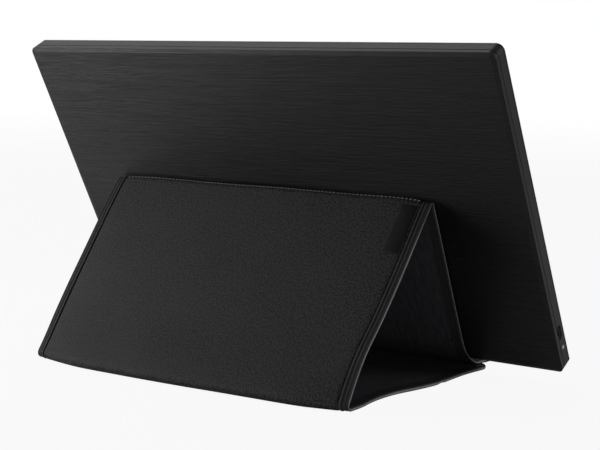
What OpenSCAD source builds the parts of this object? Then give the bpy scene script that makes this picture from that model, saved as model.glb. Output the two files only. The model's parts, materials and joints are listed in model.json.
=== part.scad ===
// Portable monitor standing in front of its folding cover.
// The cover is one flat strip of four stiff panels, folded into a triangular prism behind the monitor.
// Millimetres, Z up, table at z = 0, screen facing -Y. Origin: bottom centre of the whole object.

/* [Monitor] */
// Width of the monitor
monitor_w = 382.4; // [340:0.1:420]
// Height of the monitor
monitor_h = 235.7; // [225:0.1:260]
// Thickness of the monitor
monitor_t = 13; // [12.6:0.1:18]
// Corner radius of the monitor seen from the front
corner_r = 5; // [4:0.5:9]
// Chamfer round the back face
back_chamfer = 1.3; // [0.5:0.1:1.8]
// Border beside the lit screen
side_border = 19.1; // [17:0.1:26]
// Border above the lit screen
top_border = 16; // [14.5:0.1:24]
// Border below the lit screen
chin_h = 26.1; // [25:0.1:30]
// Wall of the rear cover and of the middle frame
shell_wall = 2; // [1.5:0.1:2.5]
// Thickness of the front bezel plate
bezel_t = 1.6; // [1.4:0.1:1.8]
// Depth of the rear cover, from the back face to the parting seam
seam_depth = 4.2; // [3.9:0.1:4.6]

/* [Stance] */
// Backward tilt of the monitor
tilt = 28; // [27:0.5:29]
// Height of the monitor's bottom back edge above the table
edge_z = 8.8; // [8.8:0.1:10]

/* [Cover] */
// Width of the cover
cover_w = 264.5; // [240:0.5:300]
// Sideways place of the cover's middle from the monitor's middle
cover_x = 7.75; // [-10:0.25:10]
// Thickness of a stiff panel
panel_t = 3.2; // [2.8:0.1:3.6]
// Thickness of the outer skin
skin_t = 0.7; // [0.5:0.05:0.9]
// Thickness of the lining
lining_t = 0.5; // [0.4:0.05:0.7]
// Width of the bound edge of a panel
binding_w = 8; // [7:0.1:9]
// Corner radius of the bound ends
cover_r = 9.5; // [9:0.1:12]
// Height of the ridge fold above the table, at the middle of the panel thickness
ridge_z = 122.2; // [117:0.1:124]
// Gap between the ridge and the monitor's back
lean_gap = 0.7; // [0.4:0.1:3]
// Gap between the rear panel's lower end and the monitor's back
bend_gap = 5; // [4:0.1:7]
// Height at which the rear panel ends above its bend
bend_z = 23.9; // [22:0.1:30]
// Slope of the outer panel
outer_slope = 50.9; // [49:0.1:52]
// Radius of the bend under the monitor
bend_r = 26; // [22:0.5:27]
// Radius of the heel fold
heel_r = 2.6; // [2.3:0.1:3.6]
// Radius of the ridge fold
ridge_r = 2.2; // [2.1:0.1:2.6]
// How far the base reaches in front of the monitor's bottom back edge
base_reach = 19; // [17:0.5:24]
// How far the front flap reaches in front of the monitor's bottom back edge
flap_reach = 104; // [80:1:125]
// Distance of the crease across the base from its front end
crease_at = 63; // [50:1:90]
// Width of the crease across the base
crease_w = 3; // [2:0.5:6]

/* [Cover trim] */
// Width of the blank tag
tag_w = 11.5; // [8:0.5:14]
// Length of the blank tag
tag_h = 36; // [24:1:44]
// Distance of the tag from the ridge end of the outer panel
tag_down = 3; // [2:0.5:12]
// Pitch of the stitches
stitch_pitch = 3.1; // [2.8:0.1:4]
// Length of one stitch
stitch_l = 2.1; // [1.4:0.1:2.2]
// Diameter of a holding magnet
magnet_d = 10; // [6:0.5:14]
// Thickness of a holding magnet
magnet_t = 1.2; // [0.8:0.1:1.4]

/* [Keys and port] */
// Length of a key
key_w = 10; // [8:0.5:12]
// Height of a key
key_h = 4; // [3.5:0.1:4.5]
// Distance of the power key from the right edge
power_from_edge = 33; // [28:1:36]
// Distance between the two keys
key_pitch = 18; // [16:1:22]
// Height of the keys above the bottom edge
key_up = 12; // [11:0.5:12.5]
// Travel of a key
key_travel = 0.5; // [0.3:0.05:0.6]
// Height of the side port above the bottom edge
port_up = 28; // [26:0.5:30]
// Width of the side port
port_w = 9; // [8.6:0.1:10.5]
// Height of the status light above the bottom edge
light_up = 15.8; // [15:0.1:17]
// Diameter of the status light
light_d = 2.6; // [2:0.1:3]

/* [Hidden] */
$fn = 48;
gap = 0.3;                 // running gap between pieces that move against each other
fit = 0.15;                // gap round pieces that are dropped into a pocket
web_t = 1.4;               // soft leather where the cover bends
seam_gap = 0.05;           // between a panel's end and the soft leather of a fold

// Profile of the folded cover, as [y, z] points measured from the monitor's bottom back edge.
base_mid_z = panel_t / 2;
flap_mid_z = panel_t + gap / 2 + panel_t / 2;
function behind(z, n) = (z - edge_z) * tan(tilt) + n / cos(tilt);   // y of a point n behind the back face
ridge_y = behind(ridge_z, panel_t / 2 + lean_gap);
ridge = [ridge_y, ridge_z];
heel_y = ridge_y + (ridge_z - base_mid_z) / tan(outer_slope);
heel = [heel_y, base_mid_z];
bend_y = behind(bend_z, panel_t / 2 + bend_gap);
rear_slope = atan2(ridge_z - bend_z, ridge_y - bend_y);
turn_bend = rear_slope;                          // angle that each fold turns through
turn_ridge = rear_slope + outer_slope;
turn_heel = 180 - outer_slope;
bend_tan = bend_r * tan(turn_bend / 2);          // from the meeting of two mid lines to the end of an arc
ridge_tan = ridge_r * tan(turn_ridge / 2);
heel_tan = heel_r * tan(turn_heel / 2);
bend_corner_y = bend_y - (bend_z - flap_mid_z) / tan(rear_slope);
flap_end_y = bend_corner_y - bend_tan;
bend_corner = [bend_corner_y, flap_mid_z];
bend_straight = norm([bend_y, bend_z] - bend_corner) - bend_tan;
rear_len = norm(ridge - [bend_y, bend_z]) - ridge_tan;
outer_len = norm(heel - ridge) - ridge_tan - heel_tan;
base_len = heel_y - heel_tan + base_reach;
step_y = -base_reach - 1.5;                      // where the flap steps down in front of the base
step_run = 7;
flap_rigid = flap_end_y - step_y;

// The whole object is centred on its origin.
front_y = -flap_reach;
back_y = heel_y - heel_tan + heel_r + panel_t / 2;
shift_y = -(front_y + back_y) / 2;

// Levels through the monitor, counted from the back face towards the screen.
shelf_t = 1.2;
tray_z = 7;                                      // back of the panel tray, on the shelf
shelf_z = tray_z - shelf_t;
tray_t = 0.6;
bezel_z = monitor_t - bezel_t;
glass_t = 1.2;
sheet_t = 0.5;
reflector_t = 0.3;
glass_z = bezel_z - glass_t;
sheet_z = glass_z - sheet_t;
guide_z = tray_z + tray_t + reflector_t;
floor_t = 1.5;                                   // floor of the rear cover
board_t = 1.2;
board_z = 3.7;                                   // back of the main board
lip_t = 1;
screen_w = monitor_w - 2 * side_border;
screen_h = monitor_h - chin_h - top_border;
screen_y = chin_h;
glass_side = 3;                                  // glass hidden beside, above and below the lit screen
glass_top = 2;
glass_bottom = 6;
glass_w = screen_w + 2 * glass_side;
glass_y = screen_y - glass_bottom;
glass_h = screen_h + glass_top + glass_bottom;
glass_step = 3.5;                                // strip of the rear glass that carries the driver chips
tray_gap = 0.7;
tray_w = glass_w + 2 * (tray_gap + tray_t);
tray_y = glass_y - tray_gap - tray_t;
tray_h = glass_h + 2 * (tray_gap + tray_t);
shelf_in = 3;                                    // how far the shelf reaches under the tray
main_board_w = 100;
main_board_h = 46;
main_board_x = -70;
main_board_y = tray_y + 18;
can_wall = 0.2;
can_w = 46;
can_h = 26;
can_t = 0.9;
can_from = [8, 9];                               // corner of the shield can from the board's corner
chips = [                                        // x, y from the board's corner, width, height, thickness
    [12, 12, 14, 14, 1], [32, 16, 9, 11, 0.9], [72, 12, 10, 10, 0.8], [72, 28, 6, 9, 0.8]
];
capacitor_r = 1.6;
capacitor_h = 1.1;
capacitor_pitch = 5;
capacitor_from = [14, 36];
key_board_z = shelf_z - 1;
port_z = 7;                                      // middle of the port
port_t = 2.9;
port_board_w = 12;
port_board_h = 50;
port_board_x = -monitor_w / 2 + shell_wall + 0.8;
port_board_y = 8;
port_board_t = 1;
port_board_z = port_z - port_t / 2 - port_board_t;
port_depth = 6;
port_cable_w = 8;
frame_bay = 16;                                  // room for the port board in the middle frame
lip_bay = 12;                                    // the rear cover's lip is cut away beside the port board
switch_w = 4.6;
switch_window = switch_w + 1.4;
driver_h = 8;
driver_w = 300;
driver_t = 0.7;
driver_y = tray_y + 4;
power_x = monitor_w / 2 - power_from_edge;
menu_x = power_x - key_pitch;
case_screw_r = 0.9;
boss_r = 2.6;
screw_in = 6.2;                                  // case screws, from the outside of the monitor

skin_black = [0.17, 0.17, 0.18];
lining_black = [0.07, 0.07, 0.075];
plastic_black = [0.09, 0.09, 0.1];

// Places in the row frame
module stand() { translate([0, shift_y, 0]) children(); }
module in_monitor() { stand() translate([0, 0, edge_z]) rotate([90 - tilt, 0, 0]) children(); }
module in_flap() { stand() translate([cover_x, step_y, flap_mid_z]) children(); }
module in_rear() { stand() translate([cover_x, bend_y, bend_z]) rotate([rear_slope, 0, 0]) children(); }
module in_outer() {
    stand() translate([cover_x, ridge_y, ridge_z]) rotate([-outer_slope, 0, 0])
        translate([0, ridge_tan, 0]) children();
}
module in_base() {
    stand() translate([cover_x, heel_y - heel_tan, base_mid_z]) rotate([180, 0, 0]) children();
}
// A [y, z] profile pushed across the cover
module across(w) {
    translate([cover_x - w / 2, 0, 0]) rotate([90, 0, 90]) linear_extrude(w) children();
}

// A panel lies along +Y from its fold, with its outer skin on top.
inner_w = cover_w - 2 * binding_w;
board_h = panel_t - skin_t - lining_t;
board_lo = lining_t - panel_t / 2;
skin_lo = panel_t / 2 - skin_t;

module strip(w, y0, y1, lo, h) {
    translate([-w / 2, y0, lo]) cube([w, y1 - y0, h]);
}
// Rounded free end of the sheets inside the binding
module ended_strip(w, y0, y1, lo, h) {
    r = cover_r - binding_w;
    translate([0, 0, lo]) linear_extrude(h) union() {
        translate([-w / 2, y0]) square([w, y1 - r - y0]);
        translate([-w / 2 + r, y0]) square([w - 2 * r, y1 - y0]);
        for (s = [-1, 1]) translate([s * (w / 2 - r), y1 - r]) circle(r);
    }
}
// Cross section of the bound edge: full round outside, two pressed grooves on the skin side
module binding_section() {
    groove_w = 0.6;
    groove_d = 0.35;
    difference() {
        union() {
            translate([0, -panel_t / 2]) square([binding_w - panel_t / 2, panel_t]);
            translate([binding_w - panel_t / 2, 0]) circle(panel_t / 2);
        }
        for (u = [binding_w * 0.22, binding_w * 0.63])
            translate([u, panel_t / 2 - groove_d]) square([groove_w, groove_d + 1]);
    }
}
// Side pieces of the binding, from y0 to y1
module side_bindings(y0, y1) {
    for (s = [0, 1]) mirror([s, 0, 0])
        translate([inner_w / 2, y1, 0]) rotate([90, 0, 0]) linear_extrude(y1 - y0) binding_section();
}
// Bound edge that runs down both sides and round the free end
module end_binding(y0, y1) {
    r_in = cover_r - binding_w;
    union() {
        side_bindings(y0, y1 - cover_r);
        for (s = [0, 1]) mirror([s, 0, 0])
            translate([inner_w / 2 - r_in, y1 - cover_r, 0])
                rotate_extrude(angle = 90) translate([r_in, 0]) binding_section();
        translate([-(inner_w / 2 - r_in), y1 - binding_w, 0]) rotate([90, 0, 90])
            linear_extrude(inner_w - 2 * r_in) binding_section();
    }
}
// Pockets for the holding magnets, in a row across a board
magnet_x = [for (k = [-1.5:1:1.5]) k * inner_w / 4.6];
module magnet_row(y, d) {
    for (x = magnet_x) translate([x, y, board_lo]) cylinder(d = d, h = magnet_t);
}
// Soft band that carries the skin round a fold; the skin lies inside or outside the bend
module fold_band(r, turn, skin_inside) {
    lo = skin_inside ? r - panel_t / 2 : r + panel_t / 2 - web_t;
    far = 2 * (lo + web_t);
    cut = seam_gap / lo * 180 / PI;
    intersection() {
        difference() {
            circle(lo + web_t, $fn = 96);
            circle(lo, $fn = 96);
        }
        polygon(concat([[0, 0]], [for (k = [0:0.25:1]) let (a = cut + (turn - 2 * cut) * k) far * [cos(a), sin(a)]]));
    }
}

// Front flap: lies on the table, steps up over the base's end and carries the monitor's bottom edge
flap_slope = atan2(flap_mid_z - base_mid_z, step_run);
flap_front = front_y - step_y;                   // negative: the flap's front end, from its step
module flap_profile(lo, h) {
    rise = flap_mid_z - base_mid_z;
    half = tan(flap_slope / 2);
    polygon([
        [flap_rigid, lo], [flap_rigid, lo + h], [-half * (lo + h), lo + h],
        [-step_run - half * (lo + h), lo + h - rise], [flap_front, lo + h - rise],
        [flap_front, lo - rise], [-step_run - half * lo, lo - rise], [-half * lo, lo]
    ]);
}
module flap_sheet(lo, h) {
    intersection() {
        translate([-inner_w / 2, 0, 0]) rotate([90, 0, 90]) linear_extrude(inner_w) flap_profile(lo, h);
        mirror([0, 1, 0]) ended_strip(inner_w, -flap_rigid, -flap_front - binding_w, -10, 20);
    }
}
module flap_skin() color(skin_black) in_flap() flap_sheet(skin_lo, skin_t);
module flap_board() color("tan") in_flap() difference() {
    flap_sheet(board_lo, board_h);
    flap_magnet_place() magnet_row(0, magnet_d + 2 * fit);
}
module flap_lining() color(lining_black) in_flap() flap_sheet(-panel_t / 2, lining_t);
module flap_magnet_place() {
    translate([0, flap_front + binding_w + magnet_d, base_mid_z - flap_mid_z]) children();
}
module flap_magnets() color("silver") in_flap() flap_magnet_place() magnet_row(0, magnet_d);
module flap_binding() color(skin_black) in_flap() union() {
    translate([0, 0, base_mid_z - flap_mid_z]) mirror([0, 1, 0]) end_binding(step_run, -flap_front);
    flap_side_rise();
}
// The stepped part of the flap's side bindings, square edged
module flap_side_rise() {
    for (s = [0, 1]) mirror([s, 0, 0]) translate([inner_w / 2, 0, 0])
        rotate([90, 0, 90]) linear_extrude(binding_w) intersection() {
            flap_profile(-panel_t / 2, panel_t);
            translate([-step_run, -20]) square([step_run + flap_rigid, 40]);
        }
}

// Moulded rail on the flap: the monitor's bottom face sits on its slope, behind a low lip
function at(n, v) = [n * cos(tilt) + v * sin(tilt), edge_z + v * cos(tilt) - n * sin(tilt)];
rail_w = 220;
rail_lip = 3;
rail_lip_t = 2;
rail_top_z = flap_mid_z + panel_t / 2;
module support_rail() color([0.12, 0.12, 0.12]) stand() across(rail_w) difference() {
    polygon([
        [flap_end_y, rail_top_z], [step_y, rail_top_z],
        at(-monitor_t - gap - rail_lip_t, -gap - 2), at(-monitor_t - gap - rail_lip_t, rail_lip),
        at(-monitor_t - gap, rail_lip), at(-monitor_t - gap, -gap),
        at(-back_chamfer - 5, -gap), [flap_end_y + 2, rail_top_z + 1.2]
    ]);
    for (k = [0.56, 0.7, 0.84]) translate(at(-monitor_t * k, -gap)) circle(0.45, $fn = 24);
}

// Bend under the monitor, from the flap up to the rear panel
module bend_web() color(lining_black) stand() across(cover_w - 1) union() {
    translate([flap_end_y, flap_mid_z + bend_r]) rotate(-90) fold_band(bend_r, turn_bend, true);
    translate([bend_y, bend_z]) rotate(rear_slope)
        translate([-bend_straight - 3 * seam_gap, panel_t / 2 - web_t])
            square([bend_straight + 2 * seam_gap, web_t]);
}

// Rear panel: leans against the monitor's back
module rear_panel_skin() color(skin_black) in_rear() strip(inner_w, 0, rear_len, skin_lo, skin_t);
module rear_panel_board() color("tan") in_rear() strip(inner_w, 0, rear_len, board_lo, board_h);
module rear_panel_lining() color(lining_black) in_rear() strip(inner_w, 0, rear_len, -panel_t / 2, lining_t);
module rear_panel_binding() color(skin_black) in_rear() side_bindings(0, rear_len);

// Outer panel: the long back face of the prism
module outer_panel_skin() color(skin_black) in_outer() strip(inner_w, 0, outer_len, skin_lo, skin_t);
module outer_panel_board() color("tan") in_outer() strip(inner_w, 0, outer_len, board_lo, board_h);
module outer_panel_lining() color(lining_black) in_outer() strip(inner_w, 0, outer_len, -panel_t / 2, lining_t);
module outer_panel_binding() color(skin_black) in_outer() side_bindings(0, outer_len);

// Fold along the top, with its row of stitches
ridge_in = 270 + (rear_slope - outer_slope) / 2;  // way from the ridge into the prism
ridge_centre = ridge + (ridge_r / cos(turn_ridge / 2)) * [cos(ridge_in), sin(ridge_in)];
module ridge_web() color(skin_black) stand() across(cover_w - 1)
    translate(ridge_centre) rotate(90 - outer_slope) fold_band(ridge_r, turn_ridge, false);
stitch_count = floor((cover_w - 2 * binding_w) / stitch_pitch);
stitch_h = 0.35;
stitch_w = 0.6;
stitch_at = 84;                                  // where the stitches lie on the round of the ridge
module ridge_stitching() color([0.75, 0.75, 0.74]) stand()
    translate([cover_x, ridge_centre[0], ridge_centre[1]]) rotate([stitch_at, 0, 0])
        for (k = [0:stitch_count - 1])
            translate([(k - (stitch_count - 1) / 2) * stitch_pitch - stitch_l / 2,
                ridge_r + panel_t / 2, -stitch_w / 2]) cube([stitch_l, stitch_h, stitch_w]);

// Blank woven tag beside the bound edge
tag_t = 0.5;
module label_tag() color([0.11, 0.11, 0.115]) in_outer()
    translate([-inner_w / 2 + 0.5, tag_down, panel_t / 2]) cube([tag_w, tag_h, tag_t]);

// Base: lies under the prism, its front end under the flap
module base_skin() color(skin_black) in_base() ended_strip(inner_w, 0, base_len - binding_w, skin_lo, skin_t);
module base_lining() color(lining_black) in_base()
    ended_strip(inner_w, 0, base_len - binding_w, -panel_t / 2, lining_t);
module base_board_rear() color("tan") in_base()
    strip(inner_w, 0, base_len - crease_at - crease_w, board_lo, board_h);
module base_board_front() color("tan") in_base() difference() {
    intersection() {
        ended_strip(inner_w, 0, base_len - binding_w, board_lo, board_h);
        strip(inner_w, base_len - crease_at, base_len, board_lo, board_h);
    }
    magnet_row(base_len - binding_w - magnet_d, magnet_d + 2 * fit);
}
module base_magnets() color("silver") in_base() magnet_row(base_len - binding_w - magnet_d, magnet_d);
module base_binding() color(skin_black) in_base() end_binding(0, base_len);
module heel_web() color(skin_black) stand() across(cover_w - 1)
    translate([heel_y - heel_tan, base_mid_z + heel_r]) rotate(-90) fold_band(heel_r, turn_heel, false);

// Solid plate with rounded corners and one chamfered edge, lying on its back
module plate_section(w, z0, z1, c) {
    polygon([[0, z0], [w - c, z0], [w, z0 + c], [w, z1], [0, z1]]);
}
module plate(w, h, r, z0, z1, c) {
    union() {
        for (s = [0, 1]) mirror([s, 0, 0])
            translate([0, h - r, 0]) rotate([90, 0, 0]) linear_extrude(h - 2 * r) plate_section(w / 2, z0, z1, c);
        for (s = [0, 1]) translate([-w / 2 + r, h / 2, 0]) mirror([0, s, 0]) rotate([90, 0, 90])
            linear_extrude(w - 2 * r) plate_section(h / 2, z0, z1, c);
        for (x = [-1, 1]) for (y = [r, h - r]) translate([x * (w / 2 - r), y, 0])
            rotate_extrude() plate_section(r, z0, z1, c);
    }
}
module rounded(w, h, r, z0, z1, inset = 0) {
    translate([0, 0, z0]) linear_extrude(z1 - z0) union() {
        translate([-w / 2 + r, inset]) square([w - 2 * r, h - 2 * inset]);
        translate([-w / 2 + inset, r]) square([w - 2 * inset, h - 2 * r]);
        for (x = [-1, 1]) for (y = [r, h - r]) translate([x * (w / 2 - r), y]) circle(r - inset);
    }
}
module block(x, y, z, w, h, t) { translate([x, y, z]) cube([w, h, t]); }

// Case screws: bosses on the rear cover, holes in the shelf
case_screw_places = [
    for (x = [-0.97, -0.5, 0, 0.5, 0.97]) [x * (monitor_w / 2 - screw_in - 4), monitor_h - screw_in],
    for (x = [-0.8, -0.4, 0, 0.4]) [x * (monitor_w / 2 - screw_in), screw_in],
    for (s = [-1, 1]) [s * (monitor_w / 2 - screw_in), monitor_h / 2]
];
board_screw_places = [
    for (x = [4, main_board_w - 4]) for (y = [4, main_board_h - 4]) [main_board_x + x, main_board_y + y]
];

// Rear cover: shallow moulded tray with ribs, bosses and a lip that locates the middle frame
rib_h = 1;
rib_t = 1;
module rear_cover() color(plastic_black) in_monitor() difference() {
    union() {
        difference() {
            plate(monitor_w, monitor_h, corner_r, 0, seam_depth, back_chamfer);
            rounded(monitor_w, monitor_h, corner_r, floor_t, seam_depth + 1, shell_wall + fit + lip_t);
        }
        lip_top = shelf_z - 0.3;
        difference() {
            rounded(monitor_w, monitor_h, corner_r, seam_depth - 1, lip_top, shell_wall + fit);
            rounded(monitor_w, monitor_h, corner_r, 0, lip_top + 1, shell_wall + fit + lip_t);
            block(-monitor_w / 2, 0, seam_depth, lip_bay, port_board_y + port_board_h + 2, lip_top);
        }
        for (x = [-0.75:0.25:0.75]) block(x * monitor_w / 2 - rib_t / 2, shell_wall, floor_t,
            rib_t, monitor_h - 2 * shell_wall, rib_h);
        for (y = [0.25, 0.5, 0.75]) block(-monitor_w / 2 + shell_wall, y * monitor_h, floor_t,
            monitor_w - 2 * shell_wall, rib_t, rib_h);
        for (p = case_screw_places) translate([p[0], p[1], 1]) cylinder(r = boss_r, h = shelf_z - 1);
        for (p = board_screw_places) translate([p[0], p[1], 1]) cylinder(r = boss_r, h = board_z - 1);
        for (y = [4, port_board_h - 4]) translate([port_board_x + port_board_w - 3, port_board_y + y, 1])
            cylinder(r = 1.5, h = port_board_z - 1);
    }
    for (p = concat(case_screw_places, board_screw_places)) translate([p[0], p[1], floor_t])
        cylinder(r = case_screw_r + 0.05, h = 10);
}

// Middle frame: side walls with a shelf that carries the display
module middle_frame() color([0.13, 0.13, 0.14]) in_monitor() difference() {
    union() {
        difference() {
            rounded(monitor_w, monitor_h, corner_r, seam_depth, bezel_z);
            rounded(monitor_w, monitor_h, corner_r, 0, monitor_t, shell_wall);
        }
        difference() {
            rounded(monitor_w, monitor_h, corner_r, shelf_z, tray_z, shell_wall - 0.5);
            block(-tray_w / 2 + shelf_in, tray_y + shelf_in, 0,
                tray_w - 2 * shelf_in, tray_h - 2 * shelf_in, monitor_t);
        }
    }
    // room for the port board, its port and the status light
    block(-monitor_w / 2 + shell_wall, port_board_y - 2, 0, frame_bay, port_board_h + 4, monitor_t);
    translate([-monitor_w / 2, port_up, port_z]) rotate([0, 90, 0]) {
        translate([0, 0, -1]) port_opening(port_t + 0.6, port_w + 0.8, 1 + shell_wall + 1);
        translate([0, 0, -1]) port_opening(port_t + 2.4, port_w + 2, 1.8);
    }
    translate([-monitor_w / 2 - 1, light_up, port_z + 0.8]) rotate([0, 90, 0])
        cylinder(d = light_d + 0.2, h = shell_wall + 2);
    // windows for the key switches
    for (x = [power_x, menu_x])
        block(x - switch_window / 2, key_up - switch_window / 2, 0, switch_window, switch_window, monitor_t);
    for (p = case_screw_places) translate([p[0], p[1], shelf_z - 1])
        cylinder(r = case_screw_r + 0.15, h = 3);
}
// Slot with round ends, across the thickness
module port_opening(t, w, h) {
    linear_extrude(h) union() {
        translate([-t / 2, -w / 2 + t / 2]) square([t, w - t]);
        for (s = [-1, 1]) translate([0, s * (w / 2 - t / 2)]) circle(t / 2);
    }
}

// Front bezel with the screen window and two key holes
window_gap = 0.8;
module front_bezel() color([0.05, 0.05, 0.055]) in_monitor() difference() {
    translate([0, 0, monitor_t]) mirror([0, 0, 1]) plate(monitor_w, monitor_h, corner_r, 0, bezel_t, 0.5);
    block(-screen_w / 2 - window_gap, screen_y - window_gap, 0,
        screen_w + 2 * window_gap, screen_h + 2 * window_gap, monitor_t + 1);
    for (x = [power_x, menu_x]) translate([x, key_up, 0]) key_shape(0.2, 0, monitor_t + 1);
}

// Display, from the glass back to its steel tray
module lcd_panel() color([0.03, 0.03, 0.05]) in_monitor() union() {
    block(-glass_w / 2, glass_y, glass_z, glass_w, glass_h, glass_t / 2);
    block(-glass_w / 2, glass_y + glass_step, glass_z, glass_w, glass_h - glass_step, glass_t);
}
module diffuser_sheet() color("white") in_monitor()
    block(-glass_w / 2, glass_y, sheet_z, glass_w, glass_h, sheet_t);
led_bar_h = 3;
module light_guide() color([0.85, 0.9, 0.95]) in_monitor()
    block(-glass_w / 2, glass_y + led_bar_h + fit, guide_z, glass_w, glass_h - led_bar_h - fit, sheet_z - guide_z);
module led_bar() color([0.95, 0.9, 0.6]) in_monitor() difference() {
    block(-glass_w / 2, glass_y, guide_z, glass_w, led_bar_h, sheet_z - guide_z);
    for (k = [0:34]) block(-glass_w / 2 + 5 + k * (glass_w - 10) / 35, glass_y + led_bar_h - 0.8,
        guide_z + 0.4, (glass_w - 10) / 35 - 3.2, 1, sheet_z - guide_z);
}
module reflector_sheet() color("white") in_monitor()
    block(-glass_w / 2, glass_y, tray_z + tray_t, glass_w, glass_h, reflector_t);
module panel_tray() color("silver") in_monitor() difference() {
    block(-tray_w / 2, tray_y, tray_z, tray_w, tray_h, glass_z - tray_z);
    block(-tray_w / 2 + tray_t, tray_y + tray_t, tray_z + tray_t,
        tray_w - 2 * tray_t, tray_h - 2 * tray_t, monitor_t);
    for (x = [-0.6:0.3:0.6]) for (y = [0.3, 0.7]) translate([x * tray_w / 2, tray_y + y * tray_h, tray_z])
        linear_extrude(0.25) square([34, 20], center = true);
}
// Folded clips that hold the tray's rim to the walls
clip_w = 14;
module tray_clips() color("silver") in_monitor() {
    side = (monitor_w - tray_w) / 2 - shell_wall - 0.2;
    for (s = [0, 1]) mirror([s, 0, 0]) for (y = [0.3, 0.75])
        block(tray_w / 2, y * monitor_h, tray_z, side, clip_w, tray_t);
    top = monitor_h - shell_wall - 0.2 - tray_y - tray_h;
    for (x = [-0.72, -0.24, 0.24, 0.72])
        block(x * monitor_w / 2 - clip_w / 2, tray_y + tray_h, tray_z, clip_w, top, tray_t);
}
module driver_board() color("darkgreen") in_monitor() union() {
    block(-driver_w / 2, driver_y, tray_z - driver_t, driver_w, driver_h, driver_t);
    for (k = [-3:2]) block(k * 48 + 10, driver_y + 1, tray_z - driver_t - 0.8, 16, 3.5, 0.8);
}
cable_x = main_board_x + main_board_w / 2 - 10;
cable_t = 0.25;
module panel_cable() color([0.8, 0.75, 0.6]) in_monitor() translate([cable_x, 0, 0])
    rotate([90, 0, 90]) linear_extrude(20) polygon([
        [driver_y + driver_h - 3, tray_z - driver_t], [driver_y + driver_h - 3, 5.5],
        [main_board_y + 3, 5.5], [main_board_y + 3, board_z + board_t],
        [main_board_y + 8, board_z + board_t], [main_board_y + 8, 5.5 + cable_t],
        [driver_y + driver_h, 5.5 + cable_t], [driver_y + driver_h, tray_z - driver_t]
    ]);
module main_board() color("darkgreen") in_monitor() difference() {
    block(main_board_x, main_board_y, board_z, main_board_w, main_board_h, board_t);
    for (p = board_screw_places) translate([p[0], p[1], 0]) cylinder(r = case_screw_r + 0.15, h = 10);
}
module board_chips() color([0.1, 0.1, 0.1]) in_monitor() {
    z = board_z + board_t;
    for (c = chips) block(main_board_x + c[0], main_board_y + c[1], z, c[2], c[3], c[4]);
    for (k = [0:4])
        translate([main_board_x + capacitor_from[0] + capacitor_pitch * k, main_board_y + capacitor_from[1], z])
            cylinder(r = capacitor_r, h = capacitor_h);
}
module shield_can() color("silver") in_monitor()
    translate([main_board_x + can_from[0], main_board_y + can_from[1], board_z - can_t]) difference() {
        cube([can_w, can_h, can_t]);
        translate([can_wall, can_wall, can_wall]) cube([can_w - 2 * can_wall, can_h - 2 * can_wall, can_t]);
    }
// Pan-head screw seated at height z, pointing down
module screw(z, grip) {
    translate([0, 0, z]) cylinder(r = 1.7, h = 0.7);
    translate([0, 0, z - grip]) cylinder(r = case_screw_r, h = grip + 0.1);
}
module board_screws() color("gray") in_monitor()
    for (p = board_screw_places) translate([p[0], p[1], 0]) screw(board_z + board_t, board_t + 1.8);
module case_screws() color("gray") in_monitor()
    for (p = case_screw_places) translate([p[0], p[1], 0]) screw(tray_z, shelf_t + 3.6);

// Side port on its own small board
module port_board() color("darkgreen") in_monitor() block(port_board_x, port_board_y, port_board_z,
    port_board_w, port_board_h, port_board_t);
module port_shell() color("silver") in_monitor()
    translate([-monitor_w / 2 + 1.1, port_up, port_z]) rotate([0, 90, 0]) difference() {
        port_opening(port_t, port_w, port_depth);
        translate([0, 0, -1]) port_opening(port_t - 0.6, port_w - 0.6, port_depth + 0.5);
    }
module port_tongue() color([0.1, 0.1, 0.1]) in_monitor()
    block(-monitor_w / 2 + 2.2, port_up - port_w / 2 + 2, port_z - 0.35, port_depth - 1.6, port_w - 4, 0.7);
module port_cable() color([0.8, 0.75, 0.6]) in_monitor()
    translate([0, port_board_y + port_board_h - 2, 0]) rotate([90, 0, 0]) linear_extrude(port_cable_w) polygon([
        [port_board_x + 6, port_board_z + port_board_t], [port_board_x + 6, port_board_z + port_board_t + 0.6],
        [port_board_x + port_board_w + 0.3, port_board_z + port_board_t + 0.6],
        [port_board_x + port_board_w + 0.3, 5.2 + cable_t], [main_board_x + 5, 5.2 + cable_t],
        [main_board_x + 5, board_z + board_t], [main_board_x, board_z + board_t], [main_board_x, 5.2],
        [port_board_x + port_board_w + 0.05, 5.2],
        [port_board_x + port_board_w + 0.05, port_board_z + port_board_t]
    ]);
module status_light() color("white") in_monitor()
    translate([-monitor_w / 2 - 0.1, light_up, port_z + 0.8]) rotate([0, 90, 0]) union() {
        cylinder(d = light_d, h = shell_wall + 0.2);
        translate([0, 0, shell_wall + 0.1]) cylinder(d = light_d + 1.2, h = 0.8);
    }

// Keys: caps that float in the bezel over their switches
module key_shape(grow, z0, z1) {
    h = key_h + 2 * grow;
    translate([0, 0, z0]) linear_extrude(z1 - z0) union() {
        square([key_w - key_h, h], center = true);
        for (s = [-1, 1]) translate([s * (key_w - key_h) / 2, 0]) circle(h / 2);
    }
}
key_proud = 0.25;
flange_t = 0.8;
switch_top = shelf_z + 2.2;
module key_cap() {
    union() {
        key_shape(0, bezel_z - flange_t, monitor_t + key_proud);
        key_shape(0.9, bezel_z - flange_t, bezel_z - 0.05);
        translate([0, 0, switch_top + key_travel + 0.1])
            cylinder(r = 1.2, h = bezel_z - flange_t - switch_top - key_travel);
    }
}
module power_key() color([0.1, 0.1, 0.11]) in_monitor() translate([power_x, key_up, 0]) key_cap();
module menu_key() color([0.1, 0.1, 0.11]) in_monitor() translate([menu_x, key_up, 0]) key_cap();
key_board_over = 12;                             // how far the key board reaches past each key
key_board_x = menu_x - key_board_over;
key_board_w = key_pitch + 2 * key_board_over;
key_board_h = 12;
key_cable_w = 6;
key_cable_lap = 16;                              // length that lies on the main board
module key_board() color("darkgreen") in_monitor()
    block(key_board_x, key_up - key_board_h / 2, key_board_z, key_board_w, key_board_h, 1);
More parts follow.
